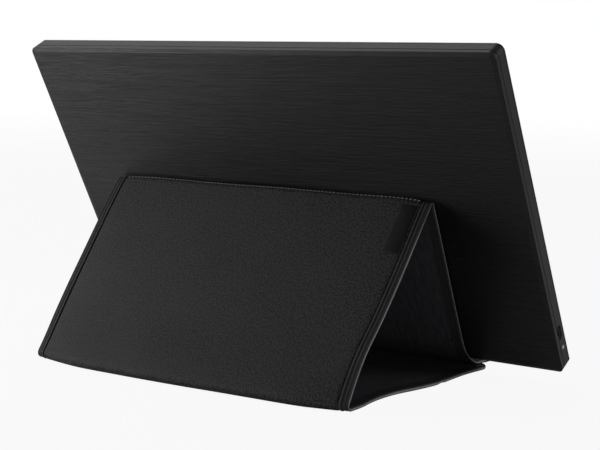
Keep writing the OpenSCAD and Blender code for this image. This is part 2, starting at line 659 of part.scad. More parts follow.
module key_switches() color([0.15, 0.15, 0.15]) in_monitor()
    for (x = [power_x, menu_x]) translate([x, key_up, 0]) union() {
        translate([-switch_w / 2, -switch_w / 2, shelf_z]) cube([switch_w, switch_w, 1.7]);
        translate([0, 0, shelf_z]) cylinder(r = 0.9, h = switch_top - shelf_z);
    }
module key_cable() color([0.8, 0.75, 0.6]) in_monitor()
    translate([0, 0, board_z + board_t]) linear_extrude(cable_t) union() {
        x0 = main_board_x + main_board_w - key_cable_lap;
        translate([x0, key_up - 2]) square([key_board_x - x0, key_cable_w]);
        translate([x0, key_up - 2]) square([key_cable_w, main_board_y + key_cable_w - key_up + 2]);
    }

flap_skin();
flap_board();
flap_lining();
flap_binding();
flap_magnets();
support_rail();
bend_web();
rear_panel_skin();
rear_panel_board();
rear_panel_lining();
rear_panel_binding();
outer_panel_skin();
outer_panel_board();
outer_panel_lining();
outer_panel_binding();
ridge_web();
ridge_stitching();
label_tag();
base_skin();
base_board_rear();
base_board_front();
base_lining();
base_binding();
base_magnets();
heel_web();
rear_cover();
middle_frame();
front_bezel();
lcd_panel();
diffuser_sheet();
light_guide();
led_bar();
reflector_sheet();
panel_tray();
tray_clips();
driver_board();
panel_cable();
main_board();
board_chips();
shield_can();
board_screws();
case_screws();
port_board();
port_shell();
port_tongue();
port_cable();
status_light();
key_board();
key_switches();
key_cable();
power_key();
menu_key();
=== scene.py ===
# Looks of a portable monitor that stands in front of its folding cover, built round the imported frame.
# The cover is one strip of leatherette over four stiff boards. It is drawn here as the real one is made:
# blanks are cut flat, then laid along the folded strip.
import json
import math
from contextlib import contextmanager

import bmesh
import bpy
from mathutils import Matrix, Vector


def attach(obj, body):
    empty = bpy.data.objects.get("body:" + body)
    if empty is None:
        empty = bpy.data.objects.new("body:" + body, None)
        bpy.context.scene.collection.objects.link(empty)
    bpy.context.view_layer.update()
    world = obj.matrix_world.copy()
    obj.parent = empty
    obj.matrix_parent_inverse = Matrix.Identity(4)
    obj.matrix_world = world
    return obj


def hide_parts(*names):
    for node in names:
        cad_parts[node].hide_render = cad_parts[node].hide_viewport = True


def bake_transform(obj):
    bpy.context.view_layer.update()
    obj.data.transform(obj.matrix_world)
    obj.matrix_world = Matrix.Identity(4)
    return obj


bl_info = {
    "name": "Portable Monitor Looks",
    "version": (1, 0, 0),
    "blender": (4, 5, 0),
    "location": "View3D > Sidebar > Monitor",
    "description": "Builds the visible surfaces of a portable monitor and its folding cover",
    "category": "Object",
}

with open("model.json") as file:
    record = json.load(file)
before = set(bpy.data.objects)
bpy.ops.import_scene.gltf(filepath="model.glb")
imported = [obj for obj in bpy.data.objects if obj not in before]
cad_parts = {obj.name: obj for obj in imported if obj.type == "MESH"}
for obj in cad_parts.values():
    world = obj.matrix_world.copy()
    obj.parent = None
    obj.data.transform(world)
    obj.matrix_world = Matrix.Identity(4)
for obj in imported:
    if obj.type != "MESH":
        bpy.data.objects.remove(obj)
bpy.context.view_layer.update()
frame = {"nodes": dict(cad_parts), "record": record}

MM = 0.001            # sizes below are in millimetres

# Where the frame has its folds. Heights are above the table, and depths are counted from the monitor's bottom
# back edge, as in the part's source.
TILT = math.radians(28.0)
EDGE_Z = 8.8
RIDGE_Z = 122.2
LEAN_GAP = 0.7
BEND_GAP = 5.0
BEND_Z = 23.9
OUTER_SLOPE = math.radians(50.9)
BEND_R = 26.0
RIDGE_R = 2.2
HEEL_R = 2.6
BASE_REACH = 19.0
FLAP_REACH = 104.0
PANEL_T = 3.2
LAP_GAP = 0.3
COVER_W = 264.5
COVER_X = 7.75
# Where the flap steps up over the base's front end: gap, length and radius.
STEP_GAP = 1.5
STEP_RUN = 7.0
STEP_R = 4.0
# The crease across the base: distance from its front end, width and depth.
CREASE_AT = 63.0
CREASE_W = 3.0
CREASE_DIP = 0.9
# How far a fold's leather and edging reach onto the panels, how far inside the strip's two ends the leather and
# lining end, and the radius of the edging at its four corners.
FOLD_LAP = 5.6
END_LAP = 6.5
EDGE_CORNER = 9.5
# How far inside the cover's sides the boards, the lining, the tag and the stitches end.
BOARD_IN = 9.2
LINING_IN = 7.0
TAG_IN = 8.5
STITCH_IN = 8.0
# Thickness of leather, lining and boards, and height of the boards' skin side over the strip's middle line.
SKIN_T = 0.55
LINING_T = 0.3
BOARD_T = 1.8
BOARD_TOP = 0.95
WEB_T = 1.4           # of a fold, which holds no board

# The monitor. Depths are counted from its back face, and heights up its slope from its bottom edge.
SEAM_DEPTH = 4.2
BEZEL_T = 1.6
MONITOR_T = 13.0
MONITOR_W = 382.4
MONITOR_H = 235.7
CORNER_R = 5.0
LOWER_CORNER_R = 2.6
SHELL_WALL = 2.0
BACK_T = 1.5
CHAMFER_SLOPE = 0.27  # depth of the back's chamfer for its width
SIDE_BORDER = 18.3
TOP_BORDER = 15.2
CHIN = 25.3
KEY_UP = 12.0
KEY_X = (158.2, 140.2)
KEY_W = 10.0
KEY_H = 4.0
# A key's gap in its hole, the flange that holds it, how far it reaches behind the bezel and stands out of the
# bezel's face, and how deep its own face is dished.
KEY_GAP = 0.2
KEY_FLANGE = 0.9
KEY_FOOT = 0.8
KEY_STANDS = 0.25
KEY_DISH = 0.08
PORT_UP = 28.0
PORT_DEPTH = 7.0
LIGHT_UP = 15.8
LIGHT_DEPTH = 7.8
# Width, thickness and depth of what is cut into the left wall.
PORT_RECESS = (11.0, 5.3, 0.8)
PORT_HOLE = (9.8, 3.5, 5.0)
LIGHT_HOLE = (2.8, 2.8, 5.0)


# ---------------------------------------------------------------- sizes and colours

class CoverLook(bpy.types.PropertyGroup):
    """Sizes and colours of the folding cover"""

    crown: bpy.props.FloatProperty(
        name="Crown", description="How far the leather stands up in the middle of a panel, in millimetres",
        default=1.0)
    waviness: bpy.props.FloatProperty(
        name="Waviness", description="Height of the slow waves in the leather, in millimetres", default=0.16)
    grain: bpy.props.FloatProperty(
        name="Grain", description="Width of one pebble of the leather grain, in millimetres", default=0.18)
    stitch_pitch: bpy.props.FloatProperty(
        name="Stitch pitch", description="Distance from one stitch to the next, in millimetres", default=3.1)
    stitch_len: bpy.props.FloatProperty(
        name="Stitch length", description="Length of one stitch, in millimetres", default=1.45)
    thread_d: bpy.props.FloatProperty(
        name="Thread", description="Thickness of the sewing thread, in millimetres", default=0.95)
    tag_w: bpy.props.FloatProperty(
        name="Tag width", description="Width of the woven tag, in millimetres", default=11.5)
    tag_h: bpy.props.FloatProperty(
        name="Tag length", description="Length of the woven tag, in millimetres", default=36.0)
    leather: bpy.props.StringProperty(
        name="Leather", description="Colour of the leatherette, as an sRGB hex value", default="#232324")
    lining: bpy.props.StringProperty(
        name="Lining", description="Colour of the lining, as an sRGB hex value", default="#404044")
    thread: bpy.props.StringProperty(
        name="Thread colour", description="Colour of the stitches, as an sRGB hex value", default="#9c9c99")


class MonitorLook(bpy.types.PropertyGroup):
    """Sizes and colours of the monitor"""

    chamfer: bpy.props.FloatProperty(
        name="Back chamfer", description="Width of the shallow chamfer round the back face, in millimetres",
        default=3.0)
    edge_r: bpy.props.FloatProperty(
        name="Edge radius", description="Small round on each moulded edge, in millimetres", default=0.28)
    seam: bpy.props.FloatProperty(
        name="Seam", description="Width of the parting seam round the back shell, in millimetres", default=0.6)
    bezel_seam: bpy.props.FloatProperty(
        name="Bezel seam", description="Width of the parting seam round the bezel, in millimetres", default=0.16)
    streak: bpy.props.FloatProperty(
        name="Brush streak", description="Width of one brushed streak on the back, in millimetres", default=0.9)
    back: bpy.props.StringProperty(
        name="Back", description="Colour of the brushed back, as an sRGB hex value", default="#101011")
    sides: bpy.props.StringProperty(
        name="Sides", description="Colour of the side walls, as an sRGB hex value", default="#303033")


class StageLook(bpy.types.PropertyGroup):
    """Camera and lights"""

    lens: bpy.props.FloatProperty(
        name="Lens", description="Focal length of the camera, in millimetres", default=84.076,
        unit="CAMERA")
    key_power: bpy.props.FloatProperty(
        name="Left light", description="Power of the large light on the camera's left, in watts", default=0.61,
        unit="POWER")
    low_power: bpy.props.FloatProperty(
        name="Low light", description="Power of the low light on the camera's left, in watts", default=0.94,
        unit="POWER")
    side_power: bpy.props.FloatProperty(
        name="Right light", description="Power of the tall light on the camera's right, in watts", default=3.8,
        unit="POWER")
    fill_power: bpy.props.FloatProperty(
        name="Fill", description="Power of the weak light beside the camera, in watts", default=1.6,
        unit="POWER")
    top_power: bpy.props.FloatProperty(
        name="Top light", description="Power of the light above, in watts", default=3.3,
        unit="POWER")
    ambient: bpy.props.FloatProperty(
        name="Ambient", description="Strength of the even light from all round", default=0.015)
    floor_shine: bpy.props.FloatProperty(
        name="Floor in reflections", description="How white the floor is in reflections", default=0.03)
    wall_shine: bpy.props.FloatProperty(
        name="Walls in reflections", description="How white the studio's walls are in reflections", default=0.03)


def cover_look():
    return bpy.context.scene.cover_look


def monitor_look():
    return bpy.context.scene.monitor_look


# ---------------------------------------------------------------- materials

def linear(code):
    """Turns an sRGB hex value to a linear colour."""
    parts = [int(code[i:i + 2], 16) / 255 for i in (1, 3, 5)]
    return tuple(p / 12.92 if p <= 0.04045 else ((p + 0.055) / 1.055) ** 2.4 for p in parts) + (1.0,)


def outlet(value):
    """The first output of a node, or the value itself."""
    return value.outputs[0] if isinstance(value, bpy.types.Node) else value


def add_node(tree, kind, inputs=None, **settings):
    """Adds one node. A value in inputs is a number or colour for the socket, or a node or output to link to it."""
    made = tree.nodes.new("ShaderNode" + kind)
    for key, value in settings.items():
        setattr(made, key, value)
    for key, value in (inputs or {}).items():
        value = outlet(value)
        if isinstance(value, bpy.types.NodeSocket):
            tree.links.new(value, made.inputs[key])
        else:
            made.inputs[key].default_value = value
    return made


def new_material(name, **shader):
    """A material with one Principled shader; keyword names stand for its sockets."""
    material = bpy.data.materials.new(name)
    material.use_nodes = True
    tree = material.node_tree
    tree.nodes.clear()
    principled = add_node(tree, "BsdfPrincipled", {key.replace("_", " "): value for key, value in shader.items()})
    add_node(tree, "OutputMaterial", {"Surface": principled})
    return material, tree, principled


def lead(shader, **sources):
    """Links nodes or outputs to a shader's sockets; keyword names stand for the sockets."""
    for key, value in sources.items():
        shader.id_data.links.new(outlet(value), shader.inputs[key.replace("_", " ")])


def per_mm(x, y, z=1.0):
    """Scale for a Mapping node, from a pattern's steps per millimetre on each axis."""
    return [1000 * x, 1000 * y, 1000 * z]


def shade(colour, k):
    return tuple(min(1.0, c * k) for c in colour[:3]) + (1.0,)


def leatherette():
    """PU leatherette, embossed with a fine pebble grain: matt, with soft broad highlights."""
    look = cover_look()
    base = linear(look.leather)
    material, tree, shader = new_material("embossed leatherette", IOR=1.48, Specular_IOR_Level=0.5)
    flat = add_node(tree, "UVMap", uv_map="flat")
    pebbles = add_node(tree, "Mapping", {"Vector": flat, "Scale": per_mm(1 / look.grain, 1 / look.grain)})
    cells = add_node(tree, "TexVoronoi", {"Vector": pebbles, "Scale": 1.0, "Randomness": 1.0},
                     feature="SMOOTH_F1", voronoi_dimensions="2D")
    # the real grain is finer; mottling of about 1.4 mm is the finest that the render shows
    spots = add_node(tree, "Mapping", {"Vector": flat, "Scale": per_mm(0.74, 0.74)})
    fine = add_node(tree, "TexNoise", {"Vector": spots, "Scale": 1.0, "Detail": 1.0, "Roughness": 0.6},
                    noise_dimensions="2D")
    patches = add_node(tree, "Mapping", {"Vector": flat, "Scale": per_mm(0.03, 0.045)})
    cloudy = add_node(tree, "TexNoise", {"Vector": patches, "Scale": 1.0, "Detail": 2.0}, noise_dimensions="2D")
    mottle = add_node(tree, "MapRange",
                      {"Value": fine, "From Min": 0.46, "From Max": 0.54, "To Min": -0.15, "To Max": 0.95})
    drift = add_node(tree, "MapRange", {"Value": cloudy, "To Min": -0.05, "To Max": 0.35})
    tone = add_node(tree, "Math", {0: mottle, 1: drift}, operation="ADD", use_clamp=True)
    colour = add_node(tree, "Mix", {"Factor": tone, 6: shade(base, 0.02), 7: shade(base, 2.5)}, data_type="RGBA")
    dull = add_node(tree, "MapRange", {"Value": fine, "To Min": 0.46, "To Max": 0.66})
    height = add_node(tree, "Math", {0: cells, 1: fine}, operation="MULTIPLY")
    relief = add_node(tree, "Bump", {"Height": height, "Strength": 0.8, "Distance": 0.4 * MM})
    lead(shader, Base_Color=colour.outputs[2], Roughness=dull, Normal=relief)
    return material


def edging_tape():
    """Folded edging tape: flat and painted dark as shade where it is sewn down, with a painted highlight on its
    bead and rim.
    """
    base = linear(cover_look().leather)
    material, tree, shader = new_material("rubbed edging", IOR=1.48, Specular_IOR_Level=0.5)
    flat = add_node(tree, "UVMap", uv_map="flat")
    spots = add_node(tree, "Mapping", {"Vector": flat, "Scale": per_mm(0.9, 0.5)})
    fine = add_node(tree, "TexNoise", {"Vector": spots, "Scale": 1.0, "Detail": 3.0}, noise_dimensions="2D")
    # painted highlight on the bead and rim and painted shade on the band, from the section's table
    highlight_mask = add_node(tree, "Attribute", attribute_name="polish").outputs["Fac"]
    uneven = add_node(tree, "MapRange", {"Value": fine, "To Min": 0.6, "To Max": 1.3})
    tone = add_node(tree, "Math", {0: highlight_mask, 1: uneven}, operation="MULTIPLY", use_clamp=True)
    colour = add_node(tree, "Mix", {"Factor": tone, 6: shade(base, 0.5), 7: shade(base, 22)}, data_type="RGBA")
    dull = add_node(tree, "MapRange", {"Value": tone, "To Min": 0.68, "To Max": 0.4})
    relief = add_node(tree, "Bump", {"Height": fine, "Strength": 0.5, "Distance": 0.3 * MM})
    lead(shader, Base_Color=colour.outputs[2], Roughness=dull, Normal=relief)
    return material


def lining_cloth():
    """Brushed microfibre lining: near black, with the faint streaks of a short nap, drawn coarse enough to show."""
    base = linear(cover_look().lining)
    material, tree, shader = new_material("brushed microfibre", Roughness=0.9, IOR=1.45, Specular_IOR_Level=0.15)
    flat = add_node(tree, "UVMap", uv_map="flat")
    streaks = add_node(tree, "Mapping", {"Vector": flat, "Scale": per_mm(0.45, 0.1)})
    nap = add_node(tree, "TexNoise", {"Vector": streaks, "Scale": 1.0, "Detail": 4.0}, noise_dimensions="2D")
    colour = add_node(tree, "Mix", {"Factor": nap, 6: shade(base, 0.5), 7: shade(base, 1.5)}, data_type="RGBA")
    relief = add_node(tree, "Bump", {"Height": nap, "Strength": 0.4, "Distance": 0.2 * MM})
    lead(shader, Base_Color=colour.outputs[2], Normal=relief)
    return material


def sewing_thread():
    """Twisted polyester thread: light grey, with the slant of its twist across each stitch."""
    base = linear(cover_look().thread)
    material, tree, shader = new_material("twisted thread", Roughness=0.6, IOR=1.5)
    where = add_node(tree, "TexCoord").outputs["Object"]
    turns = add_node(tree, "Mapping", {"Vector": where, "Scale": per_mm(2.2, 1.4, 1.4)})
    twist = add_node(tree, "TexWave", {"Vector": turns, "Scale": 0.5, "Distortion": 0.6},
                     bands_direction="DIAGONAL").outputs[1]
    colour = add_node(tree, "Mix", {"Factor": twist, 6: shade(base, 0.7), 7: shade(base, 1.1)}, data_type="RGBA")
    relief = add_node(tree, "Bump", {"Height": twist, "Strength": 0.5, "Distance": 0.1 * MM})
    lead(shader, Base_Color=colour.outputs[2], Normal=relief)
    return material


def woven_satin():
    """Woven satin ribbon: charcoal, with fine ribs across it and the shine of the floats."""
    material, tree, shader = new_material("woven satin", Roughness=0.5, IOR=1.5, Specular_IOR_Level=0.35)
    flat = add_node(tree, "UVMap", uv_map="flat")
    rows = add_node(tree, "Mapping", {"Vector": flat, "Scale": per_mm(1.0, 1.0)})
    ribs = add_node(tree, "TexWave", {"Vector": rows, "Scale": 0.42, "Distortion": 0.3}, bands_direction="Y")
    threads = add_node(tree, "Mapping", {"Vector": flat, "Scale": per_mm(0.25, 1.6)})
    slubs = add_node(tree, "TexNoise", {"Vector": threads, "Scale": 1.0, "Detail": 2.0}, noise_dimensions="2D")
    weave = add_node(tree, "Math", {0: ribs.outputs[1], 1: slubs}, operation="MULTIPLY")
    colour = add_node(tree, "Mix", {"Factor": weave, 6: linear("#141416"), 7: linear("#2b2b2f")},
                      data_type="RGBA")
    relief = add_node(tree, "Bump", {"Height": weave, "Strength": 0.4, "Distance": 0.1 * MM})
    lead(shader, Base_Color=colour.outputs[2], Normal=relief)
    return material


def brushed_case():
    """ABS moulded with a brushed texture across its width: long fine streaks that catch the light."""
    look = monitor_look()
    base = linear(look.back)
    material, tree, shader = new_material(
        "brushed ABS", Roughness=0.42, IOR=1.5, Specular_IOR_Level=0.5, Anisotropic=0.4)
    where = add_node(tree, "TexCoord").outputs["Object"]
    across = 1 / look.streak
    long = add_node(tree, "Mapping", {"Vector": where, "Scale": per_mm(0.016, across * 0.5, across * 0.9)})
    streaks = add_node(tree, "TexNoise", {"Vector": long, "Scale": 1.0, "Detail": 4.0, "Roughness": 0.62})
    short = add_node(tree, "Mapping", {"Vector": where, "Scale": per_mm(0.05, across, across * 2.0)})
    fine = add_node(tree, "TexNoise", {"Vector": short, "Scale": 1.0, "Detail": 2.0})
    both = add_node(tree, "Math", {0: streaks, 1: fine}, operation="MULTIPLY")
    lines = add_node(tree, "MapRange", {"Value": both, "From Min": 0.17, "From Max": 0.35})
    colour = add_node(tree, "Mix", {"Factor": lines, 6: shade(base, 0.35), 7: shade(base, 2.0)}, data_type="RGBA")
    dull = add_node(tree, "MapRange", {"Value": lines, "To Min": 0.5, "To Max": 0.36})
    relief = add_node(tree, "Bump", {"Height": lines, "Strength": 0.6, "Distance": 0.12 * MM})
    lead(shader, Base_Color=colour.outputs[2], Roughness=dull, Normal=relief)
    return material


def moulded(name, code, roughness, grit=0.35, depth=0.04):
    """ABS with a fine spark-eroded texture: even and satin, with a faint mottle."""
    base = linear(code)
    material, tree, shader = new_material(name, Roughness=roughness, IOR=1.5)
    where = add_node(tree, "TexCoord").outputs["Object"]
    pits = add_node(tree, "Mapping", {"Vector": where, "Scale": per_mm(1 / grit, 1 / grit, 1 / grit)})
    grains = add_node(tree, "TexNoise", {"Vector": pits, "Scale": 1.0, "Detail": 2.0})
    patches = add_node(tree, "Mapping", {"Vector": where, "Scale": per_mm(0.04, 0.04, 0.04)})
    broad = add_node(tree, "TexNoise", {"Vector": patches, "Scale": 1.0, "Detail": 2.0})
    colour = add_node(tree, "Mix", {"Factor": broad, 6: shade(base, 0.86), 7: shade(base, 1.14)},
                      data_type="RGBA")
    dull = add_node(tree, "MapRange", {"Value": grains, "To Min": roughness - 0.06, "To Max": roughness + 0.06})
    relief = add_node(tree, "Bump", {"Height": grains, "Strength": 0.3, "Distance": depth * MM})
    lead(shader, Base_Color=colour.outputs[2], Roughness=dull, Normal=relief)
    return material


def screen_glass():
    """Anti-glare glass over a dark display: a soft, slightly blue reflection."""
    material, tree, shader = new_material(
        "anti-glare glass", Roughness=0.22, IOR=1.5, Coat_Weight=0.3, Coat_Roughness=0.18)
    where = add_node(tree, "TexCoord").outputs["Object"]
    specks = add_node(tree, "Mapping", {"Vector": where, "Scale": per_mm(3.0, 3.0, 3.0)})
    haze = add_node(tree, "TexNoise", {"Vector": specks, "Scale": 1.0, "Detail": 2.0})
    colour = add_node(tree, "Mix", {"Factor": haze, 6: linear("#0b0c0f"), 7: linear("#111317")}, data_type="RGBA")
    dull = add_node(tree, "MapRange", {"Value": haze, "To Min": 0.18, "To Max": 0.27})
    lead(shader, Base_Color=colour.outputs[2], Roughness=dull)
    return material


def rolled_steel(name="rolled steel", code="#a7a9ac", roughness=0.35):
    """Tin-plated sheet steel, rolled: bright, with faint lines along the roll."""
    base = linear(code)
    material, tree, shader = new_material(name, Metallic=1.0, Roughness=roughness)
    where = add_node(tree, "TexCoord").outputs["Object"]
    along = add_node(tree, "Mapping", {"Vector": where, "Scale": per_mm(0.02, 1.2, 1.2)})
    lines = add_node(tree, "TexNoise", {"Vector": along, "Scale": 1.0, "Detail": 3.0})
    colour = add_node(tree, "Mix", {"Factor": lines, 6: shade(base, 0.8), 7: shade(base, 1.1)}, data_type="RGBA")
    dull = add_node(tree, "MapRange", {"Value": lines, "To Min": roughness - 0.08, "To Max": roughness + 0.1})
    lead(shader, Base_Color=colour.outputs[2], Roughness=dull)
    return material


def circuit_laminate():
    """Green epoxy laminate under solder mask: glossy, with lighter and darker copper areas."""
    material, tree, shader = new_material("solder mask", Roughness=0.35, IOR=1.52)
    where = add_node(tree, "TexCoord").outputs["Object"]
    areas = add_node(tree, "Mapping", {"Vector": where, "Scale": per_mm(0.22, 0.22, 0.22)})
    copper = add_node(tree, "TexVoronoi", {"Vector": areas}, distance="CHEBYCHEV")
    colour = add_node(tree, "Mix", {"Factor": copper, 6: linear("#0d4426"), 7: linear("#16633a")},
                      data_type="RGBA")
    lead(shader, Base_Color=colour.outputs[2])
    return material


def clouded(name, low, high, size=0.1, detail=2.0, **shader_values):
    """Board, film or moulding with a slight cloudiness from one colour to another."""
    material, tree, shader = new_material(name, **shader_values)
    where = add_node(tree, "TexCoord").outputs["Object"]
    clouds = add_node(tree, "Mapping", {"Vector": where, "Scale": per_mm(size, size, size)})
    cloudy = add_node(tree, "TexNoise", {"Vector": clouds, "Scale": 1.0, "Detail": detail})
    colour = add_node(tree, "Mix", {"Factor": cloudy, 6: linear(low), 7: linear(high)}, data_type="RGBA")
    lead(shader, Base_Color=colour.outputs[2])
    return material


def film(name, low, high, roughness):
    return clouded(name, low, high, Roughness=roughness, IOR=1.5)


FINISHES = {}


def finish_named(key):
    """Makes a finish the first time that it is asked for."""
    makers = {
        "leather": leatherette,
        "edging": edging_tape,
        "lining": lining_cloth,
        "thread": sewing_thread,
        "tag": woven_satin,
        "back_plastic": brushed_case,
        "screen_glass": screen_glass,
        "circuit_board": circuit_laminate,
        "plated_steel": rolled_steel,
        # grey-brown pressed fibreboard: matt, with flecks
        "board": lambda: clouded("pressed fibreboard", "#7c6a52", "#a3906f", 0.6, 4.0, Roughness=0.9, IOR=1.45),
        # matt moulded rubber: near black, slightly dusty, soft highlights
        "rail_rubber": lambda: clouded("moulded rubber", "#121213", "#1f1f20", 0.12, 5.0, Roughness=0.78, IOR=1.52),
        # frosted light pipe: pale, with a faint glow of emission
        "light_lens": lambda: clouded("frosted lens", "#8f949b", "#b9bdc2", 1.0, Roughness=0.3, IOR=1.49,
                                      Emission_Color=linear("#d8dce2"), Emission_Strength=0.1),
        "side_plastic": lambda: moulded("satin ABS", monitor_look().sides, 0.46),
        "bezel_plastic": lambda: moulded("bezel ABS", "#111113", 0.34, 0.5, 0.02),
        "key_plastic": lambda: moulded("key ABS", "#19191b", 0.4),
        "magnet": lambda: rolled_steel("nickel plate", "#b9bbbd", 0.22),
        "screw_steel": lambda: rolled_steel("blackened steel", "#4a4a4c", 0.4),
        "sheet_white": lambda: film("white film", "#e3e4e3", "#f2f2f0", 0.6),
        "guide_clear": lambda: film("acrylic guide", "#ccd8de", "#dfe8ec", 0.1),
        "led_strip": lambda: film("emitter strip", "#d8cf9a", "#efe6b4", 0.5),
        "chip_black": lambda: film("black epoxy moulding", "#101011", "#1a1a1b", 0.5),
        "flat_cable": lambda: film("polyimide film", "#a98a4c", "#c2a566", 0.35),
    }
    if key not in FINISHES:
        FINISHES[key] = makers[key]()
    return FINISHES[key]


def dress(piece, key):
    """Gives a new piece its finish."""
    piece.data.materials.clear()
    piece.data.materials.append(finish_named(key))


# ---------------------------------------------------------------- mesh helpers

def alone(piece):
    bpy.ops.object.select_all(action="DESELECT")
    piece.select_set(True)
    bpy.context.view_layer.objects.active = piece


@contextmanager
def editing(piece):
    alone(piece)
    bpy.ops.object.mode_set(mode="EDIT")
    yield
    bpy.ops.object.mode_set(mode="OBJECT")


def apply_modifier(piece, kind, **settings):
    modifier = piece.modifiers.new(kind.title(), kind)
    for key, value in settings.items():
        setattr(modifier, key, value)
    alone(piece)
    bpy.ops.object.modifier_apply(modifier=modifier.name)


def smooth(piece, degrees):
    alone(piece)
    bpy.ops.object.shade_smooth_by_angle(angle=math.radians(degrees))


def select(piece, mode, wanted):
    """In edit mode, selects the vertices, edges or faces for which wanted is true."""
    bpy.ops.mesh.select_mode(type=mode)
    mesh = bmesh.from_edit_mesh(piece.data)
    for items in (mesh.verts, mesh.edges, mesh.faces):
        for item in items:
            item.select = False
    for item in {"VERT": mesh.verts, "EDGE": mesh.edges, "FACE": mesh.faces}[mode]:
        if wanted(item):
            item.select_set(True)
    mesh.select_flush_mode()
    bmesh.update_edit_mesh(piece.data)


def named(piece, name):
    piece.name = name
    piece.data.name = name
    return piece


def join(first, others):
    bpy.ops.object.select_all(action="DESELECT")
    for piece in [first, *others]:
        piece.select_set(True)
    bpy.context.view_layer.objects.active = first
    bpy.ops.object.join()
    return first


def copy_of(piece, name):
    made = piece.copy()
    made.data = piece.data.copy()
    made.name = made.data.name = name
    bpy.context.collection.objects.link(made)
    return made


# ---------------------------------------------------------------- the folded strip

def behind(z, n):
    """Depth of a point n behind the monitor's back face, at height z."""
    return (z - EDGE_Z) * math.tan(TILT) + n / math.cos(TILT)


def fold_strip():
    """Walks the strip's middle line from the flap's front end, over the ridge, to the base's front end.
    Returns the spans as name, start of the span along the strip, length, start point, heading and turn."""
    half = PANEL_T / 2
    flap_z = PANEL_T + LAP_GAP / 2 + half
    ridge = (behind(RIDGE_Z, half + LEAN_GAP), RIDGE_Z)
    heel = (ridge[0] + (RIDGE_Z - half) / math.tan(OUTER_SLOPE), half)
    bend = (behind(BEND_Z, half + BEND_GAP), BEND_Z)
    rear_slope = math.atan2(ridge[1] - bend[1], ridge[0] - bend[0])
    turn_ridge = rear_slope + OUTER_SLOPE
    turn_heel = math.pi - OUTER_SLOPE
    bend_tan = BEND_R * math.tan(rear_slope / 2)
    ridge_tan = RIDGE_R * math.tan(turn_ridge / 2)
    heel_tan = HEEL_R * math.tan(turn_heel / 2)
    corner_y = bend[0] - (bend[1] - flap_z) / math.tan(rear_slope)
    flap_end = corner_y - bend_tan
    straight = math.dist(bend, (corner_y, flap_z)) - bend_tan
    step_turn = math.atan2(flap_z - half, STEP_RUN)
    rise = ((flap_z - half) - 2 * STEP_R * (1 - math.cos(step_turn))) / math.sin(step_turn)
    run = 2 * STEP_R * math.sin(step_turn) + rise * math.cos(step_turn)
    step_from = -BASE_REACH - STEP_GAP - STEP_RUN / 2 - run / 2
    back = heel[0] - heel_tan + HEEL_R + half
    shift = -(back - FLAP_REACH) / 2
    lengths = [
        ("flap", step_from + FLAP_REACH, 0), ("step_in", STEP_R * step_turn, step_turn), ("step", rise, 0),
        ("step_out", STEP_R * step_turn, -step_turn), ("flap_top", flap_end - step_from - run, 0),
        ("bend", BEND_R * rear_slope, rear_slope), ("bend_top", straight, 0),
        ("rear", math.dist(ridge, bend) - ridge_tan, 0), ("ridge", RIDGE_R * turn_ridge, -turn_ridge),
        ("outer", math.dist(heel, ridge) - ridge_tan - heel_tan, 0),
        ("heel", HEEL_R * turn_heel, -turn_heel), ("base", heel[0] - heel_tan + BASE_REACH, 0),
    ]
    spans, along, y, z, heading = {}, 0.0, -FLAP_REACH + shift, half, 0.0
    for name, length, turn in lengths:
        spans[name] = (along, length, y, z, heading, turn)
        y, z, heading = walk(spans[name], length)
        along += length
    return spans, shift


def walk(span, d):
    """Point and heading at distance d into a span."""
    _, length, y, z, heading, turn = span
    if not turn:
        return y + d * math.cos(heading), z + d * math.sin(heading), heading
    radius = length / turn
    new = heading + d / radius
    return (y + radius * (math.sin(new) - math.sin(heading)),
            z - radius * (math.cos(new) - math.cos(heading)), new)


SPANS, SHIFT = fold_strip()


def begins(name):
    return SPANS[name][0]


def ends(name):
    return SPANS[name][0] + SPANS[name][1]


def board_point(s, x, n):
    """A point at distance s along the strip, x across it and n to its skin side, in metres in the row frame."""
    for span in SPANS.values():
        if s <= span[0] + span[1]:
            break
    y, z, heading = walk(span, s - span[0])
    return Vector(((x + COVER_X) * MM, (y - n * math.sin(heading)) * MM, (z + n * math.cos(heading)) * MM))


def eased(knots, t):
    """A smooth line through knots, each a place and a value, and level before the first and after the last."""
    if t <= knots[0][0] or t >= knots[-1][0]:
        return knots[0 if t <= knots[0][0] else -1][1]
    slopes = [0.0] + [(q[1] - p[1]) / (q[0] - p[0]) for p, q in zip(knots, knots[2:])] + [0.0]
    for k, ((a, low), (b, high)) in enumerate(zip(knots, knots[1:])):
        if t <= b:
            break
    u = (t - a) / (b - a)
    return (low + (high - low) * step_up(u) +
            (b - a) * u * (1 - u) * ((1 - u) * slopes[k] - u * slopes[k + 1]))


HEEL = begins("heel")
RIDGE = begins("ridge") + 2
# How far the cover's soft edges stand out past the straight ones, at places along the strip: on the side of +X
# and on the side of -X. The cover is widest at the ridge and drawn in at the heel.
PULL_PLUS = [(begins("rear"), 0), (RIDGE, 4.5), (HEEL - 65, 0.5), (HEEL - 30, -2.2), (HEEL, -4.6),
             (HEEL + 60, -4), (ends("base"), 0)]
PULL_MINUS = [(begins("rear"), 0), (RIDGE, 1.2), (HEEL - 66, 0.8), (HEEL - 10, -3.2), (HEEL + 8, -3.2),
              (HEEL + 22, -3.4), (HEEL + 48, -6.0), (HEEL + 68, -5.4), (HEEL + 92, -0.5), (HEEL + 110, 2.0),
              (HEEL + 148, 1.5), (ends("base"), 4.0)]
PULL_FROM = 50        # the pull begins this far from the cover's middle line
PULL_OVER = 70        # and is full this much further out
# How far the heel bellies out to the back, at places across the cover, and how this fades along the strip.
BELLY = [(-132, -9), (-120, -6), (-100, -1.5), (-60, 1), (0, 4.5), (50, 6), (84, 6.2), (104, 4), (122, 0.6),
         (132, -1)]
BELLY_FADE = [(HEEL - 45, 0), (HEEL, 1), (ends("heel"), 1), (ends("heel") + 45, 0)]


